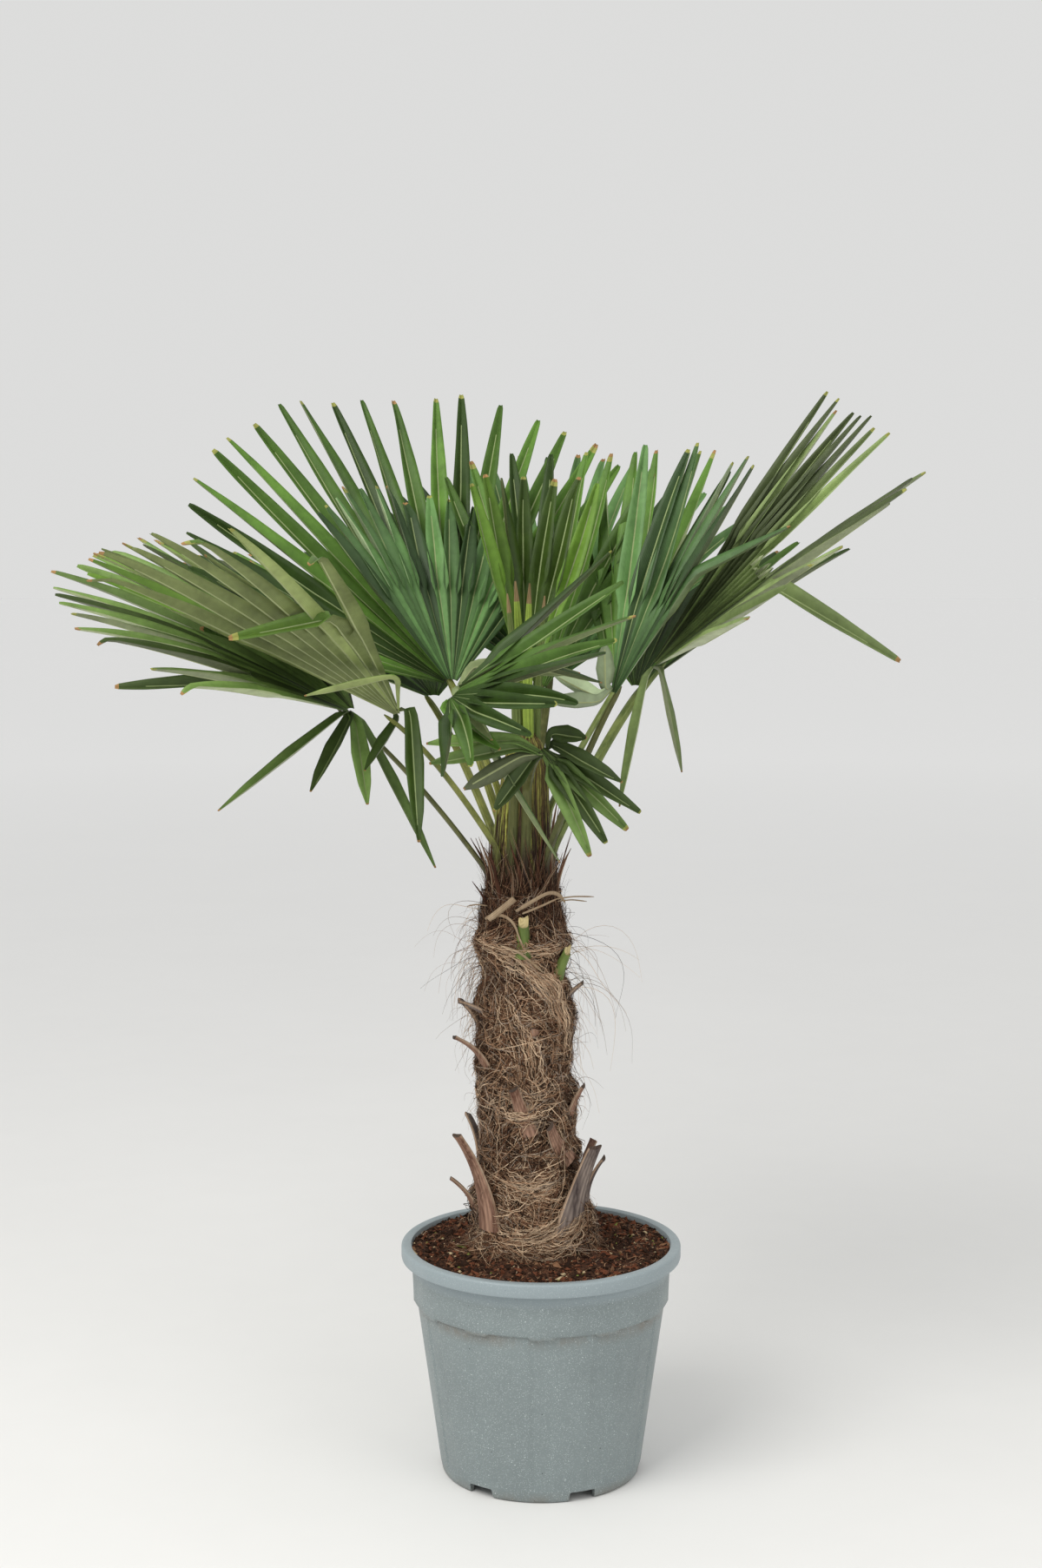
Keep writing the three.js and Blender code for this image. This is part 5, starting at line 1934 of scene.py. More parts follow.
@dataclass(frozen=True)
class Bend:
    """A leaflet that is broken over: where, and where its end points."""

    at: float
    kink: float
    azimuth: float
    elevation: float
    length: float


@dataclass(frozen=True)
class Hanging:
    """A leaflet by itself that leaves the fan's edge, rises a little and hangs."""

    edge: float
    rise: float
    azimuth: float
    elevation: float
    length: float
    turn: float = 0.0


class Chance(IntEnum):
    """What a leaflet's repeatable numbers are for."""

    SAG = 1
    LENGTH = 2
    SPLIT = 3
    TINT = 4
    AGE = 5
    KINKED = 6
    KINK_PLACE = 7
    KINK_DROP = 8
    DRIFT = 9
    TWIST = 10
    HANGING_TWIST = 11
    WAVE = 12


@dataclass(frozen=True)
class FanPlan:
    """Where a fan is held and how it is spread. Angles are in degrees."""

    name: str
    hastula: Point
    azimuth: float
    elevation: float
    roll: float
    length: float
    cup: float
    sag: float
    first: float
    last: float
    stalk_angle: float
    stalk_height: float
    tone: Tone = Tone.DEEP
    pitch: float = 6.3
    split: float = 0.42
    half_width: float = 0.0112
    disorder: float = 1.0
    fold: float | None = None
    fold_pitch: float = 2.25
    gap: tuple[float, float] = (0.0, 0.0)
    bends: tuple[Bend, ...] = ()
    hangings: tuple[Hanging, ...] = ()

    def frame(self) -> tuple[Array, Array, Array]:
        """The fan's own directions.

        Returns:
            Its middle leaflet, its upper side, and across.
        """
        axis = heading(self.azimuth, self.elevation)
        rise = heading(self.azimuth, self.elevation + 90)
        upper, _ = swung(rise, np.cross(axis, rise), -math.radians(self.roll))
        return axis, upper, np.cross(axis, upper)

    def chance(self, angle: float, use: Chance) -> float:
        """A repeatable number between -1 and 1 for a leaflet."""
        seed = self.hastula[0] * 12989.8 + angle * 78.233 + use * 37.719
        seed = math.sin(seed) * 43758.5453
        return 2 * (seed - math.floor(seed)) - 1


FANS = (
    FanPlan(
        "left", (-0.233, -0.020, 0.984), 187, 27.4, -15, 0.417, 10, 0.23, -56, 72, 182, 0.752,
        Tone.PALE, bends=(Bend(-38, 0.180, -179, -3, 0.168),),
        hangings=(
            Hanging(-62, 0.036, -128, -25, 0.236),
            Hanging(-74, 0.022, -116, -41, 0.126),
            Hanging(-88, 0.022, -75, -54, 0.120),
            Hanging(-104, 0.018, -28, -59, 0.206),
        ),
    ),
    FanPlan(
        "front_left", (-0.171, -0.100, 0.985), 200, 26.7, 3, 0.436, 24, 0.16, -50, 62, 214, 0.790,
        Tone.FRESH,
        bends=(Bend(-38, 0.228, 176, -12, 0.129),),
        hangings=(
            Hanging(-62, 0.108, -175, -13, 0.112),
            Hanging(-76, 0.044, -81, -63, 0.172),
            Hanging(92, 0.012, 214, -52, 0.078),
        ),
    ),
    FanPlan(
        "right", (0.134, -0.027, 1.040), -15, 37, 9, 0.420, 2, 0.05, -27, 62, -8, 0.770,
        Tone.SUNLIT, pitch=7.1, fold=50, gap=(-9, 0),
        bends=(Bend(28, 0.245, 4, -31, 0.182),),
        hangings=(Hanging(68, 0.075, -6, -78, 0.128), Hanging(90, 0.022, -152, -77, 0.164)),
    ),
    FanPlan(
        "front_right", (0.083, -0.110, 1.007), 20, 62, 24, 0.344, 26, 0.02, -22, 25, -38, 0.765,
        Tone.BLUISH, split=0.3, disorder=2.2,
        bends=(Bend(22, 0.185, 0, 27, 0.128),),
        hangings=(
            Hanging(-60, 0.012, -95, 74, 0.058),
            Hanging(-100, 0.010, 190, 27, 0.064, 62),
            Hanging(-120, 0.010, 196, 2, 0.062, 62),
        ),
    ),
    FanPlan(
        "front_low", (-0.008, -0.160, 0.961), -17, -52, 70, 0.153, 2, 0.1, -24, 12, -84, 0.880,
        Tone.PALE, pitch=9, split=0.1, half_width=0.0105, disorder=1.2,
        hangings=(
            Hanging(40, 0.014, -153, -50, 0.080, -42),
            Hanging(-60, 0.016, -27, -25, 0.100, 48),
            Hanging(-100, 0.018, -32, -5, 0.050, 62),
            Hanging(115, 0.016, -161, -9, 0.112, -58),
            Hanging(140, 0.022, -174, -3, 0.104, -50),
            Hanging(80, 0.020, -141, -21, 0.092, 120),
        ),
    ),
    FanPlan(
        "front", (-0.112, -0.160, 1.018), -20, 27, 38, 0.262, 10, 0.16, -22, 86, 246, 0.880,
        Tone.DEEP, pitch=10.8, split=0.16, half_width=0.0105, disorder=2.6,
        hangings=(
            Hanging(-8, 0.085, -12, -14, 0.112),
            Hanging(-60, 0.012, -10, -58, 0.241),
            Hanging(-40, 0.012, -55, -36, 0.092, 180),
            Hanging(-46, 0.046, -4, -5, 0.128, -60),
            Hanging(118, 0.018, -34, -30, 0.092, 60),
        ),
    ),
    FanPlan("upper_left", (-0.116, 0.090, 1.012), 119, 58.7, -5, 0.452, 13, 0, -82, 52, 138, 0.800),
    FanPlan(
        "inner_left", (-0.113, 0.045, 1.013), 114, 56, 14, 0.305, 15, 0.02, -46, 46, 160, 0.850,
        Tone.BLUISH,
    ),
    FanPlan(
        "inner_back", (-0.020, 0.052, 1.004), 100, 80, 14, 0.290, 28, 0, -24, 26, 100, 0.890,
        Tone.FRESH, pitch=7.2, disorder=1.8,
    ),
    FanPlan(
        "upper_back", (0.0, 0.135, 0.996), 80, 71.5, -2, 0.344, 12, 0, -32, 38, 92, 0.850,
        pitch=8.6, disorder=1.6,
    ),
    FanPlan(
        "upper_right", (0.095, 0.065, 1.004), 45, 68.7, -11, 0.341, 12, 0, -36, 44, 30, 0.830,
        pitch=8.6, disorder=1.6,
    ),
    FanPlan(
        "back", (0.015, 0.205, 1.005), 92, 53, 0, 0.388, 15, 0.08, -66, 60, 84, 0.785, Tone.BLUISH,
    ),
    FanPlan("back_right", (0.125, 0.155, 1.000), 56, 31, 0, 0.370, 16, 0.14, -52, 36, 50, 0.756),
    FanPlan("back_left", (-0.140, 0.185, 0.985), 132, 29, 0, 0.410, 14, 0.16, -72, 60, 116, 0.756),
)


@dataclass
class Fan:
    """The blade of one fan: pleated and joined near the stalk, then single leaflets."""

    plan: FanPlan
    steps: int = 48
    split_spread: float = 0.035
    root: float = 0.011
    pleat: float = 0.36
    slack: float = 0.3
    sag_spread: float = 0.07
    length_spread: float = 0.025
    shorten: float = 0.3
    drift: float = 0.12
    twist: float = 24.0
    wave: float = 0.12
    thickness: float = 0.00045
    kink_share: float = 0.09
    stump: float = 0.04
    folded_narrow: float = 0.36
    hanging_twist: float = 15.0
    hanging_fold: float = 0.7
    hanging_widths: tuple[float, ...] = (0.006, 0.015, 0.023, 0.016, 0.003)
    rib_end: float = 0.9
    tip_start: float = 0.989
    tip_shade_start: float = 0.975
    reaches: tuple[float, ...] = (-1.0, -0.55, -0.08, 0.0, 0.08, 0.55, 1.0)
    rows: tuple[float, ...] = (
        0.0, 0.045, 0.09, 0.14, 0.19, 0.24, 0.29, 0.33, 0.365, 0.39, 0.41, 0.43, 0.45, 0.475,
        0.505, 0.545, 0.59, 0.635, 0.68, 0.725, 0.77, 0.81, 0.85, 0.89, 0.93, 0.965, 0.986, 1.0,
    )
    profile: Curve = (
        (0.0, 1.0), (0.15, 1.1), (0.35, 1.06), (0.6, 0.9), (0.8, 0.66), (0.93, 0.44), (0.985, 0.32),
        (1.0, 0.2),
    )
    seams: dict[float, tuple[Array, float]] = field(default_factory=dict)

    def length_at(self, angle: float) -> float:
        """Length of the leaflet at an angle from the middle one."""
        return self.plan.length * (1 - self.shorten * (angle / 100) ** 2)

    def heading_at(self, angle: float) -> Array:
        """Direction in which the leaflet at an angle leaves the hastula."""
        axis, upper, across = self.plan.frame()
        folded = angle < 0 and self.plan.fold is not None
        turn, cup = math.radians(angle), math.radians(self.plan.fold if folded else self.plan.cup)
        aside, lifted = math.sin(turn) * math.cos(cup), abs(math.sin(turn)) * math.sin(cup)
        return axis * math.cos(turn) + across * aside + upper * lifted

    def line(
        self,
        angle: float,
        extra_sag: float = 0.0,
        share: float = 1.0,
        drift: float = 0.0,
        kink: Span = (2.0, 0.0),
    ) -> Line:
        """The middle of a leaflet, bending to the ground as it goes.

        Args:
            angle: Its angle from the middle leaflet.
            extra_sag: More sag in its free part.
            share: Its length as a share of the full one.
            drift: How far its free part bends to the side.
            kink: Share at which the tip is broken, and how much it drops there.

        Returns:
            The line.
        """
        t = (np.arange(self.steps) + 0.5) / self.steps * share
        free = np.maximum(0.0, t - self.plan.split)
        drop = self.plan.sag * t * t + extra_sag * free
        broken = kink[1] * ease((t - kink[0] * share) / 0.03)
        aside = unit(self.heading_at(angle + 1) - self.heading_at(angle - 1))
        moves = self.heading_at(angle) - UP * drop[:, None] + aside * (drift * free)[:, None]
        moves = unit(unit(moves) - UP * broken[:, None])
        step = self.length_at(angle) * share / self.steps
        points = np.vstack([np.zeros(3), np.cumsum(moves, axis=0)]) * step
        return Line(points + np.array(self.plan.hastula))

    def seam(self, angle: float) -> tuple[Array, float]:
        """The raised crease between two leaflets, and the share at which they part.

        Args:
            angle: The crease's angle.

        Returns:
            One point for each row, and the split.
        """
        key = round(angle, 4)
        if key not in self.seams:
            line, length = self.line(angle), self.length_at(angle)
            before, after = self.line(angle - 1), self.line(angle + 1)
            reach = self.root + (length - self.root) * np.array(self.rows)
            across = after.at(reach) - before.at(reach)
            normal = unit(np.cross(across, line.tangent(reach)))
            fold = self.pleat * np.minimum(reach, length * 0.5) * self.half_pitch()
            split = self.plan.split + self.split_spread * self.plan.chance(angle, Chance.SPLIT)
            self.seams[key] = (line.at(reach) + normal * fold[:, None], split)
        return self.seams[key]

    def half_pitch(self) -> float:
        """Half the distance between two creases, as a share of the way from the hastula."""
        return math.sin(math.radians(self.plan.pitch / 2))

    def edges(self) -> Array:
        """Angles of the creases, which lie close together where the fan is folded up."""
        plan = self.plan
        if plan.fold is None:
            count = round((plan.last - plan.first) / plan.pitch)
            return np.linspace(plan.first, plan.last, count + 1)
        closed = np.linspace(plan.first, 0, round(-plan.first / plan.fold_pitch) + 1)
        return np.append(closed, np.linspace(0, plan.last, round(plan.last / plan.pitch) + 1)[1:])

    def blade_grid(
        self,
        line: Line,
        across: Array,
        half: Array,
        fold: Array,
        twist: Array,
        seams: tuple[tuple[Array, float], ...] | None,
        reach: Array,
    ) -> Array:
        """The grid of one leaflet.

        Args:
            line: Its middle.
            across: The direction from its left to its right edge, one for each row.
            half: Half its width at each row.
            fold: Depth of its fold at each row.
            twist: How far it is twisted at each row, in radians.
            seams: The creases to its left and right, where it is joined to its neighbours.
            reach: Distance of each row down the line.

        Returns:
            The places of its rows.
        """
        rows = np.array(self.rows)
        middle, tangent = line.at(reach), line.tangent(reach, 0.006)
        side = unit(across - tangent * np.sum(across * tangent, axis=1, keepdims=True))
        side, over = swung(side, np.cross(side, tangent), -twist[:, None])
        rise = over * (0.5 * fold)[:, None]
        valley = middle - rise
        columns = []
        for u in self.reaches:
            edge = middle + side * (math.copysign(1, u) * half)[:, None] + rise
            if seams is not None:
                seam, split = seams[u > 0]
                edge = seam + (edge - seam) * ease((rows - split) / 0.1)[:, None]
            swell = over * (0.2 * half * abs(u) * (1 - abs(u)))[:, None]
            columns.append(valley + (edge - valley) * abs(u) + swell)
        return np.stack(columns, axis=1)

    def paint(self, angle: float, kinked: bool) -> Array:
        """Deals the finishes of a leaflet: tint, rib, and a yellow or dry end.

        Args:
            angle: The leaflet's angle.
            kinked: Whether its tip is broken.

        Returns:
            Material index of each face.
        """
        rows = np.array(self.rows)[1:]
        tint = min(2, int(1.5 * (self.plan.chance(angle, Chance.TINT) + 1)))
        paint = np.full((len(rows), len(self.reaches) - 1), tint)
        paint[rows < self.rib_end, 2:4] = LeafPaint.RIB
        age, tip = self.plan.chance(angle, Chance.AGE), rows > self.tip_start
        if age > -0.3 or kinked:
            paint[tip, :] = LeafPaint.YELLOWING
        if age > 0.4 or kinked:
            paint[tip, :] = LeafPaint.DRY
        if age > 0.8:
            paint[(rows > self.tip_shade_start) & ~tip, :] = LeafPaint.YELLOWING
        return paint

    def add_leaflet(self, bm: BMesh, left: float, right: float) -> None:
        """Adds the leaflet between two creases.

        Args:
            bm: The mesh.
            left: Angle of the crease to its left.
            right: Angle of the crease to its right.
        """
        plan, rows = self.plan, np.array(self.rows)
        angle = (left + right) / 2
        bend = next((b for b in plan.bends if left < b.at <= right), None)
        line, kinked = self.leaflet_line(angle, bend)
        length = line.length - self.root
        reach = self.root + length * rows
        if plan.gap[0] < angle < plan.gap[1]:
            parted = self.root + length * plan.split
            reach = np.where(rows < plan.split, reach, parted + (reach - parted) * self.stump)
        seams = (self.seam(left), self.seam(right))
        across = seams[1][0] - seams[0][0]
        joined = rows < plan.split
        at_split = across[np.searchsorted(rows, plan.split)]
        across = np.where(joined[:, None], across, at_split)
        free = (rows - plan.split).clip(0) / (1 - plan.split)
        half_split = np.linalg.norm(at_split) / 2
        width = half_split + (plan.half_width - half_split) * ease(free / 0.15)
        width = width * follow(self.profile, free)
        half = np.where(joined, np.linalg.norm(across, axis=1) / 2, width)
        pleat = 2 * self.pleat * self.half_pitch()
        fold_split = pleat * self.length_at(angle) * plan.split
        closing = ease(free / 0.2) if plan.fold is not None and angle < 0 else 0 * free
        half = half * (1 - self.folded_narrow * closing)
        kept = half * (1 - self.slack * ease(free) + 0.3 * closing)
        slackened = fold_split + (kept - fold_split) * ease(free / 0.2)
        fold = np.where(joined, pleat * reach, slackened)
        wave = self.wave * np.sin(9 * free + 3 * plan.chance(angle, Chance.WAVE)) * free
        turned = math.radians(self.twist) * plan.disorder**0.6 * plan.chance(angle, Chance.TWIST)
        twist = turned * ease(free * 1.1) + wave
        grid = self.blade_grid(line, across, half, fold, twist, seams, reach)
        loft(bm, grid, self.paint(angle, kinked or bend is not None))

    def leaflet_line(self, angle: float, bend: Bend | None) -> tuple[Line, bool]:
        """The line of a leaflet, with its own length, sag, drift and perhaps a kinked tip.

        Args:
            angle: Its angle from the middle leaflet.
            bend: How it is broken, if it is.

        Returns:
            The line, and whether its tip is kinked.
        """
        plan = self.plan
        share = 1 + self.length_spread * (plan.chance(angle, Chance.LENGTH) - 1)
        extra = self.sag_spread * plan.chance(angle, Chance.SAG) * plan.disorder
        drift = self.drift * plan.disorder * plan.chance(angle, Chance.DRIFT)
        lot = 0.5 * (plan.chance(angle, Chance.KINKED) + 1)
        if bend is None and lot < self.kink_share:
            place = 0.92 + 0.04 * plan.chance(angle, Chance.KINK_PLACE)
            drop = 0.45 + 0.3 * plan.chance(angle, Chance.KINK_DROP)
            return self.line(angle, extra, share, drift, (place, drop)), True
        line = self.line(angle, extra, share, drift)
        return (self.broken(line, bend, share, angle) if bend else line), False

    def broken(self, line: Line, bend: Bend, share: float, angle: float) -> Line:
        """The line of a leaflet that is broken over.

        Args:
            line: Its line before it broke.
            bend: How it is broken.
            share: Its length as a share of the full one.
            angle: Its angle from the middle leaflet.

        Returns:
            The line up to the break and on from it.
        """
        at = max(bend.kink / self.length_at(angle), self.plan.split + 0.03) * line.length
        kept = line.at(np.linspace(0, at, 40))
        end = heading(bend.azimuth, bend.elevation) * bend.length * share
        onward = kept[-1] + end * np.linspace(0, 1, 40)[1:, None]
        return Line(np.vstack([kept, onward])).rounded(3)

    def add_hanging(self, bm: BMesh, hanging: Hanging) -> None:
        """Adds a leaflet that hangs by itself.

        Args:
            bm: The mesh.
            hanging: Where and how it hangs.
        """
        plan, rows = self.plan, np.array(self.rows)
        direction = heading(hanging.azimuth, hanging.elevation)
        hastula = np.array(plan.hastula)
        nearest = plan.first + plan.pitch / 2 if hanging.edge < 0 else plan.last - plan.pitch / 2
        start = hastula + self.heading_at(nearest) * 1.5 * self.root
        out = hastula + self.heading_at(hanging.edge) * hanging.rise + direction * 0.006
        end = out + direction * hanging.length
        steps = np.linspace(0, 1, 30)[:, None]
        points = np.vstack([start + (out - start) * steps, out + (end - out) * steps[1:]])
        line = Line(points).rounded(30)
        across = np.broadcast_to(unit(np.cross(direction, UP)), (len(rows), 3))
        knee = float(np.linalg.norm(out - start)) / line.length
        belly = mix(knee, 1, 0.4)
        half = 0.5 * np.interp(rows, (0, knee, belly, mix(belly, 1, 0.6), 1), self.hanging_widths)
        twist = math.radians(self.hanging_twist) * plan.chance(hanging.edge, Chance.HANGING_TWIST)
        twist = twist * rows - math.radians(hanging.turn)
        fold = half * self.hanging_fold
        grid = self.blade_grid(line, across, half, fold, twist, None, line.length * rows)
        loft(bm, grid, self.paint(hanging.edge, True))

    def build(self, finishes: Sequence[Material]) -> None:
        """Makes the blade and dresses it.

        Args:
            finishes: The six skins of the upper side, then the six of the under side.
        """
        bm = bmesh.new()
        edges = self.edges()
        for left, right in zip(edges, edges[1:]):
            self.add_leaflet(bm, float(left), float(right))
        for hanging in self.plan.hangings:
            self.add_hanging(bm, hanging)
        bmesh.ops.remove_doubles(bm, verts=bm.verts, dist=SEAM_MERGE)
        made = piece(bm, f"blade_{self.plan.name}", finishes)
        shell = made.modifiers.new("thickness", "SOLIDIFY")
        shell.thickness = self.thickness
        shell.offset = -1
        shell.material_offset = len(finishes) // 2
        dress(made, "frond", f"fan_{self.plan.name}")


@dataclass(frozen=True)
class Strip:
    """A straw-coloured strip: the points it runs through, half its width and depth, its end."""

    knots: tuple[Point, ...]
    half: float
    deep: float
    end: float = 0.3


@dataclass
class CrownShaft:
    """The bundle of leaf feet over the trunk, and the stalks that rise from it to the fans."""

    wardrobe: Wardrobe
    form: Column = Column(
        (
            (0.7383, -0.025, 0.038),
            (0.790, -0.024, 0.036),
            (0.860, -0.022, 0.032),
            (0.930, -0.020, 0.028),
            (0.955, -0.020, 0.024),
        )
    )
    foot: float = 0.722
    top: float = 0.962
    sheath_rings: int = 40
    closing: Curve = ((0, 1.03), (0.8, 1.0), (0.93, 0.8), (1, 0.4))
    pleats: int = 72
    pleat_points: int = 6
    pleat_depth: float = 0.0016
    laps: int = 7
    lap_height: float = 0.0022
    tint_edges: Span = (-0.35, 0.6)
    end_radius: float = 0.0046
    stalk_rows: int = 48
    stalk_flat: float = 0.72
    stalk_heights: tuple[float, ...] = (0.72, 0.76, 0.82)
    stalk_halves: tuple[float, ...] = (0.0115, 0.0085, 0.0066)
    stalk_tip: tuple[float, ...] = (0.95, 0.8, 0.35)
    # Fans whose stalks lie in shadow and get the painted shade of StalkLook.SHADED.
    shaded_stalks: tuple[str, ...] = (
        "left", "back", "front_right", "upper_back", "front", "front_low",
    )
    husks: int = 46
    husk_rows: int = 18
    husk_seed: int = 19
    husk_deep: float = 0.0007
    strips: tuple[Strip, ...] = (
        Strip(
            ((-0.066, -0.056, 0.729), (-0.050, -0.063, 0.743), (-0.034, -0.067, 0.757)),
            0.0044, 0.0021, 1.0,
        ),
        Strip(
            (
                (-0.032, -0.060, 0.740), (-0.010, -0.074, 0.756), (0.010, -0.074, 0.768),
                (0.023, -0.062, 0.762), (0.029, -0.052, 0.750),
            ),
            0.0026, 0.0009,
        ),
        Strip(
            (
                (-0.0705, -0.040, 0.727), (-0.062, -0.054, 0.7355), (-0.0423, -0.066, 0.7355),
                (-0.031, -0.067, 0.722), (-0.0285, -0.067, 0.705), (-0.0205, -0.066, 0.691),
            ),
            0.0025, 0.0008, 0.4,
        ),
        Strip(
            ((-0.024, -0.066, 0.738), (-0.002, -0.072, 0.748), (0.020, -0.064, 0.757)),
            0.0016, 0.0008,
        ),
        Strip(
            ((-0.052, -0.062, 0.697), (-0.028, -0.067, 0.690), (0.002, -0.063, 0.663)),
            0.0019, 0.0008,
        ),
        Strip(
            ((0.018, -0.038, 0.752), (0.040, -0.036, 0.755), (0.066, -0.032, 0.754)),
            0.0011, 0.0008,
        ),
        Strip(
            ((0.020, -0.032, 0.748), (0.038, -0.030, 0.750), (0.057, -0.026, 0.747)),
            0.0009, 0.0007,
        ),
        Strip(
            ((-0.068, -0.030, 0.742), (-0.082, -0.030, 0.744), (-0.094, -0.028, 0.741)),
            0.0010, 0.0007,
        ),
    )

    def on_shaft(self, angle: float, height: Array, out: float) -> Array:
        """Points at an angle in degrees on the shaft, so far over its surface."""
        reach = self.form.radius(height) + out
        return around(math.radians(angle), reach, height, self.form.lean(height))

    def stalk_line(self, plan: FanPlan) -> Line:
        """The line of a fan's stalk, up the shaft and out to the blade.

        Args:
            plan: The fan.

        Returns:
            The line from the shaft's foot to just under the blade.
        """
        axis, upper, _ = plan.frame()
        start = self.on_shaft(plan.stalk_angle, np.array([plan.stalk_height]), 0.0)[0]
        centre = np.array([float(self.form.lean(plan.stalk_height)), 0, plan.stalk_height])
        start = centre + (start - centre) * 0.6
        hastula = np.array(plan.hastula)
        under = max(0.003, 0.0102 * plan.length) / 2 + self.end_radius
        end = hastula + axis * 0.022 - upper * under * 0.8
        way = hastula - start
        lift = UP * 0.05 * np.linalg.norm(way)
        curve = bezier((start, start + way * 0.3 + lift, start + way * 0.8 + lift, end), 60).points
        radial = np.hypot(curve[:, 0] - self.form.lean(curve[:, 2]), curve[:, 1])
        outside = curve[radial > self.form.radius(curve[:, 2]) + 0.001]
        outside = outside if len(outside) > 10 else curve
        joint = min(plan.stalk_height - 0.01, float(outside[0][2]) - 0.012)
        climb = np.linspace(self.foot, max(joint, self.foot + 0.01), 24)
        sheath = self.on_shaft(plan.stalk_angle, climb, 0.0005)
        return Line(np.vstack([sheath, outside])).smoothed(120, 24)

    def build_stalks(self, plans: Sequence[FanPlan]) -> None:
        """Makes the stalks of all the fans.

        Args:
            plans: The fans.
        """
        bm = bmesh.new()
        section, order = round_section(12, 0.45), list(StalkLook)
        t = np.linspace(0, 1, self.stalk_rows + 1)
        for plan in plans:
            line = self.stalk_line(plan)
            places = line.at(t * line.length)
            free = Line(places).length * (1 - t)
            half = np.interp(places[:, 2], self.stalk_heights, self.stalk_halves)
            slim = np.minimum(half, self.end_radius + 0.002 * np.sqrt((free / 0.25).clip(0, 1)))
            slim[-len(self.stalk_tip):] *= self.stalk_tip
            sizes = np.stack([t, slim, slim * self.stalk_flat], -1)
            across = unit(np.cross(UP, line.points[-1] - places[0]))
            grid = tube(line, across, sizes, section)
            loft(bm, grid, order.index(self.look_of(plan)), closed=True, capped=True)
        harden(bm, 45)
        made = piece(bm, "leaf_stalks", self.wardrobe.stalks)
        dress(made, "stalk", *(f"stalk_{plan.name}" for plan in plans))

    def look_of(self, plan: FanPlan) -> StalkLook:
        """Which green a fan's stalk is: olive to the left, pale to the right, and for the
        shaded_stalks the darker copy that is painted shade.
        """
        if plan.name in self.shaded_stalks:
            return StalkLook.SHADED
        left = plan.hastula[0] < float(self.form.lean(self.foot))
        return StalkLook.OLIVE if left else StalkLook.PALE

    def build_sheaths(self) -> None:
        """Makes the core of the shaft and the finely pleated leaf feet wrapped round it."""
        bm = bmesh.new()
        turn = np.linspace(0, FULL_TURN, self.pleats * self.pleat_points + 1)
        rows = []
        for z in np.linspace(self.foot, self.top, self.sheath_rings):
            climb = (z - self.foot) / (self.top - self.foot)
            close = float(follow(self.closing, climb))
            drift = 0.1 * np.sin(2 * turn + 9 * climb) + 0.05 * np.sin(5 * turn - 14 * climb)
            pleat = np.abs(np.sin((turn + drift) * self.pleats / 2)) ** 0.7
            depth = self.pleat_depth * (0.6 + 0.4 * np.sin(3 * turn + 5 * climb))
            place = (turn * self.laps / FULL_TURN + 0.9 * climb) % 1.0
            reach = float(self.form.radius(z)) * close - depth * (1 - pleat)
            reach = reach + self.lap_height * (place - 0.5)
            rows.append(around(turn, reach, z, float(self.form.lean(z))))
        side = turn[1:]
        shares = (
            0.8 * np.sin(side - 0.4)
            + 0.5 * np.sin(5 * side + 1.0)
            + 0.7 * np.sin(19 * side)
            + 0.7 * np.sin(43 * side)
        )
        paint = np.digitize(shares, self.tint_edges)
        loft(bm, np.array(rows), paint, closed=True, capped=True)
        harden(bm, 50)
        made = piece(bm, "crown_shaft_sheaths", self.wardrobe.sheaths)
        dress(made, "crown_shaft", "crown_shaft")

    def build_husks(self) -> None:
        """Makes the dry, thin and twisted sheath ends that stand round the foot of the shaft."""
        rng = default_rng(self.husk_seed)
        bm = bmesh.new()
        section = round_section(6, 0.3)
        paint = np.zeros((self.husk_rows, len(section)), int)
        paint[:, [0, 2]] = 1
        t = np.linspace(0, 1, self.husk_rows + 1)
        for k in range(self.husks):
            angle = 360 / self.husks * k + rng.normal(0, 6)
            tall = math.cos(math.radians(angle + 20)) > 0.55
            height = rng.uniform(0.705, 0.75)
            length = rng.uniform(0.045, 0.1) + (rng.uniform(0.0, 0.05) if tall else 0.0)
            points = self.on_shaft(angle, height + length * t, 0.005)
            away = heading(angle, 0) * (rng.gamma(1.4, 0.011) * t**1.8)[:, None]
            sway, ripple = rng.normal(0, 0.013), rng.uniform(0.002, 0.005)
            wave = sway * t**1.5 + ripple * np.sin(7 * t + 6 * rng.uniform()) * t
            line = Line(points + away + heading(angle + 90, 0) * wave[:, None])
            broad = rng.uniform(0.0016, 0.0048)
            half = broad * follow(((0, 1.0), (0.4, 0.85), (0.8, 0.35), (1, 0.06)), t)
            twist = angle + 90 + 70 * rng.normal(0, 1)
            sizes = np.stack([t, half, np.full_like(t, self.husk_deep)], -1)
            grid = tube(line, -heading(twist, 0), sizes, section)
            loft(bm, grid, paint, closed=True, capped=True)
        dress(piece(bm, "dry_husks", [self.wardrobe.husk, self.wardrobe.straw]), "crown_shaft")

    def build_strips(self) -> None:
        """Makes the straw-coloured strips that lie over the top of the trunk in front."""
        bm = bmesh.new()
        section = round_section(8, 0.6)
        across = np.array([0.1, 0.35, -1.0])
        t = np.linspace(0, 1, 25)
        for strip in self.strips:
            line = Line(np.array(strip.knots)).smoothed(40, 30)
            width = strip.half * np.interp(t, (0, 0.15, 0.85, 1), (0.7, 1.0, 0.95, strip.end))
            sizes = np.stack([t, width, np.full_like(t, strip.deep)], -1)
            loft(bm, tube(line, across, sizes, section), closed=True, capped=True)
        dress(piece(bm, "straw_strips", [self.wardrobe.straw]), "trunk")


@dataclass(frozen=True)
class Spear:
    """An unopened leaf: its foot on the shaft, its tip, its radius and its finish."""

    foot: Span
    tip: Point
    radius: float
    paint: int


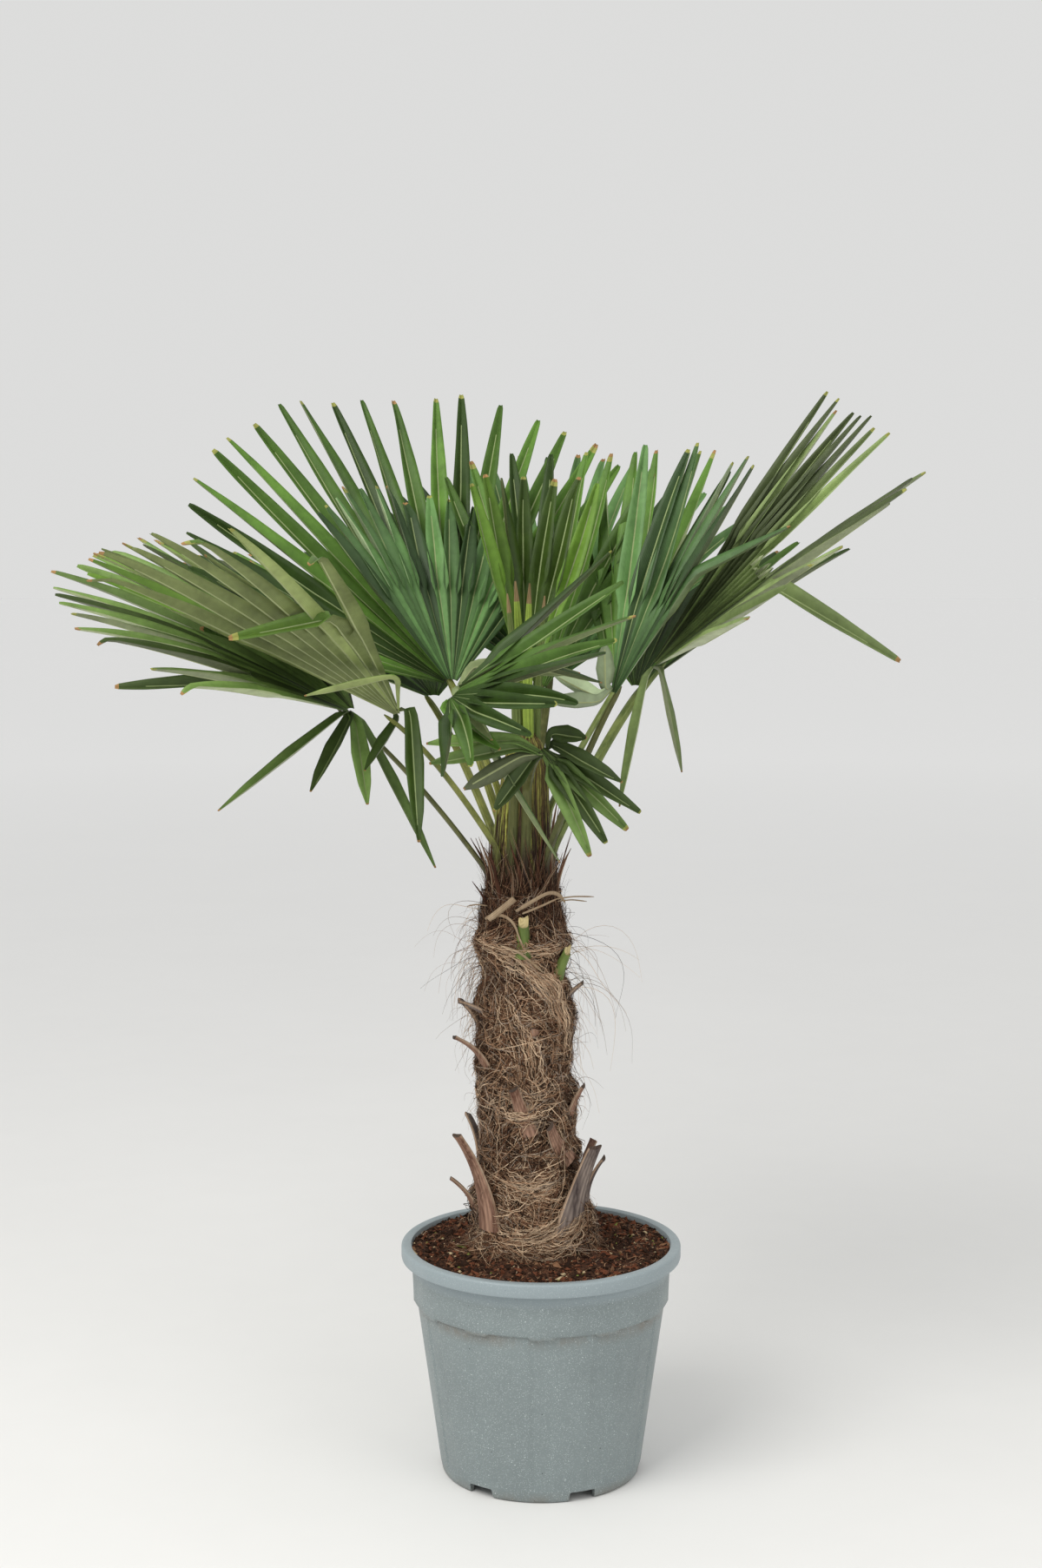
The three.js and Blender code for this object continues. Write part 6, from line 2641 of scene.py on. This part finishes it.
@dataclass
class Spears:
    """The unopened leaves that stand on the crown shaft."""

    finishes: Sequence[Material]
    base: float = 0.90
    folds: int = 9
    fold_radius: float = 0.76
    rows: int = 39
    bow: float = 0.004
    flat: float = 0.9
    dry_from: float = 0.9
    bright: int = 0
    dull: int = 1
    dry: int = 2
    profile: Curve = ((0, 0.9), (0.35, 1.0), (0.7, 0.82), (0.9, 0.5), (1, 0.14))
    leaves: tuple[Spear, ...] = (
        Spear((-0.031, -0.008), (-0.043, -0.010, 1.133), 0.0064, dull),
        Spear((-0.020, 0.005), (-0.033, 0.010, 1.148), 0.0074, bright),
        Spear((-0.014, -0.010), (-0.015, -0.014, 1.146), 0.0069, bright),
        Spear((-0.008, 0.002), (0.004, 0.002, 1.130), 0.0064, dull),
    )

    def section(self) -> Array:
        """Outline of a folded leaf, ridge by ridge."""
        ridges = np.arange(2 * self.folds)
        turn, size = ridges * math.pi / self.folds, np.where(ridges % 2, self.fold_radius, 1.0)
        return np.stack([np.cos(turn) * size, np.sin(turn) * size], -1)

    def build(self) -> None:
        """Makes the spears as one piece."""
        bm = bmesh.new()
        t = np.linspace(0, 1, self.rows + 1)
        for k, spear in enumerate(self.leaves):
            start, end = np.array([*spear.foot, self.base]), np.array(spear.tip)
            bow = np.sin(math.pi * t)[:, None] * heading(70 * k, 0) * self.bow
            line = Line(start + (end - start) * t[:, None] + bow)
            size = spear.radius * follow(self.profile, t)
            grid = tube(line, RIGHT, np.stack([t, size, size * self.flat], -1), self.section())
            paint = np.full((self.rows, 2 * self.folds), spear.paint)
            paint[t[1:] > self.dry_from, :] = self.dry
            loft(bm, grid, paint, closed=True, capped=True)
        harden(bm, 30)
        made = piece(bm, "spear_leaves", self.finishes)
        dress(made, "spear", *(f"spear_{k + 1:02d}" for k in range(len(self.leaves))))


# --- studio ---


@dataclass
class Studio:
    """A plain pale floor, soft light and the camera."""

    floor_finish: Material
    floor_size: float = 30.0
    camera_place: Point = (-0.0258, -3.0528, 1.2412)
    pitch: float = 6.51
    lens: float = 55.85
    sensor: float = 36.0
    sky: float = 0.72
    sky_colour: Colour = (1.0, 1.0, 0.99)
    lamp_size: float = 2.2
    lamp_colour: Colour = (1.0, 0.98, 0.94)
    lamps: tuple[tuple[str, Point, float], ...] = (
        ("soft_key", (-1.6, -1.9, 3.2), 92.0),
        ("soft_fill", (2.3, -2.3, 2.2), 24.0),
    )
    lit_point: Point = (0.0, 0.0, 0.8)

    def build_floor(self) -> None:
        """Lays the floor."""
        bm = bmesh.new()
        bmesh.ops.create_grid(bm, x_segments=1, y_segments=1, size=self.floor_size)
        floor = piece(bm, "studio_floor", [self.floor_finish])

    def build_light(self) -> None:
        """Sets a pale sky and hangs the soft lamps in front, the stronger one to the left."""
        world = bpy.data.worlds.new("pale_room")
        world.use_nodes = True
        backdrop = world.node_tree.nodes["Background"]
        backdrop.inputs["Color"].default_value = shade(self.sky_colour)
        backdrop.inputs["Strength"].default_value = self.sky
        bpy.context.scene.world = world
        for name, place, power in self.lamps:
            self.hang(name, place, power)

    def hang(self, name: str, place: Point, power: float) -> None:
        """Hangs a large soft lamp.

        Args:
            name: Its name.
            place: Where it hangs.
            power: Its power in watts.
        """
        lamp = bpy.data.lights.new(name, "AREA")
        lamp.energy = power
        lamp.size = self.lamp_size
        lamp.color = self.lamp_colour
        lit = bpy.data.objects.new(name, lamp)
        lit.location = place
        aim = Vector(self.lit_point) - Vector(place)
        lit.rotation_euler = aim.to_track_quat("-Z", "Y").to_euler()
        bpy.context.scene.collection.objects.link(lit)

    def build_camera(self) -> None:
        """Sets the camera at the height of the crown's foot, looking a little down."""
        data = bpy.data.cameras.new("camera")
        data.lens = self.lens
        data.sensor_width = self.sensor
        camera = bpy.data.objects.new("camera", data)
        camera.location = self.camera_place
        camera.rotation_euler = (math.radians(90 - self.pitch), 0, 0)
        bpy.context.scene.collection.objects.link(camera)
        bpy.context.scene.camera = camera

    def build(self) -> None:
        """Makes the floor, the light and the camera."""
        self.build_floor()
        self.build_light()
        self.build_camera()
        bpy.context.scene.view_settings.view_transform = "Standard"


def main() -> None:
    """Builds the studio, the pot, the compost and the palm."""
    logging.basicConfig(level=logging.INFO, format="%(message)s")
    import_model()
    wardrobe = Wardrobe()
    Studio(wardrobe.floor).build()
    NurseryPot(wardrobe.plastic).build()
    Compost(wardrobe.compost, wardrobe.crumbs).build(wardrobe.fibres)
    form = TrunkForm()
    Trunk(form, wardrobe.core, wardrobe.fibres).build()
    cuts = (wardrobe.sawn, wardrobe.fresh_cut, wardrobe.margin)
    LeafBases(form, [*wardrobe.bases, *cuts]).build()
    shaft = CrownShaft(wardrobe)
    shaft.build_sheaths()
    shaft.build_husks()
    shaft.build_strips()
    shaft.build_stalks(FANS)
    Spears(wardrobe.spears).build()
    for plan in FANS:
        Fan(plan).build(wardrobe.leaf[plan.tone])


if __name__ == "__main__":
    main()
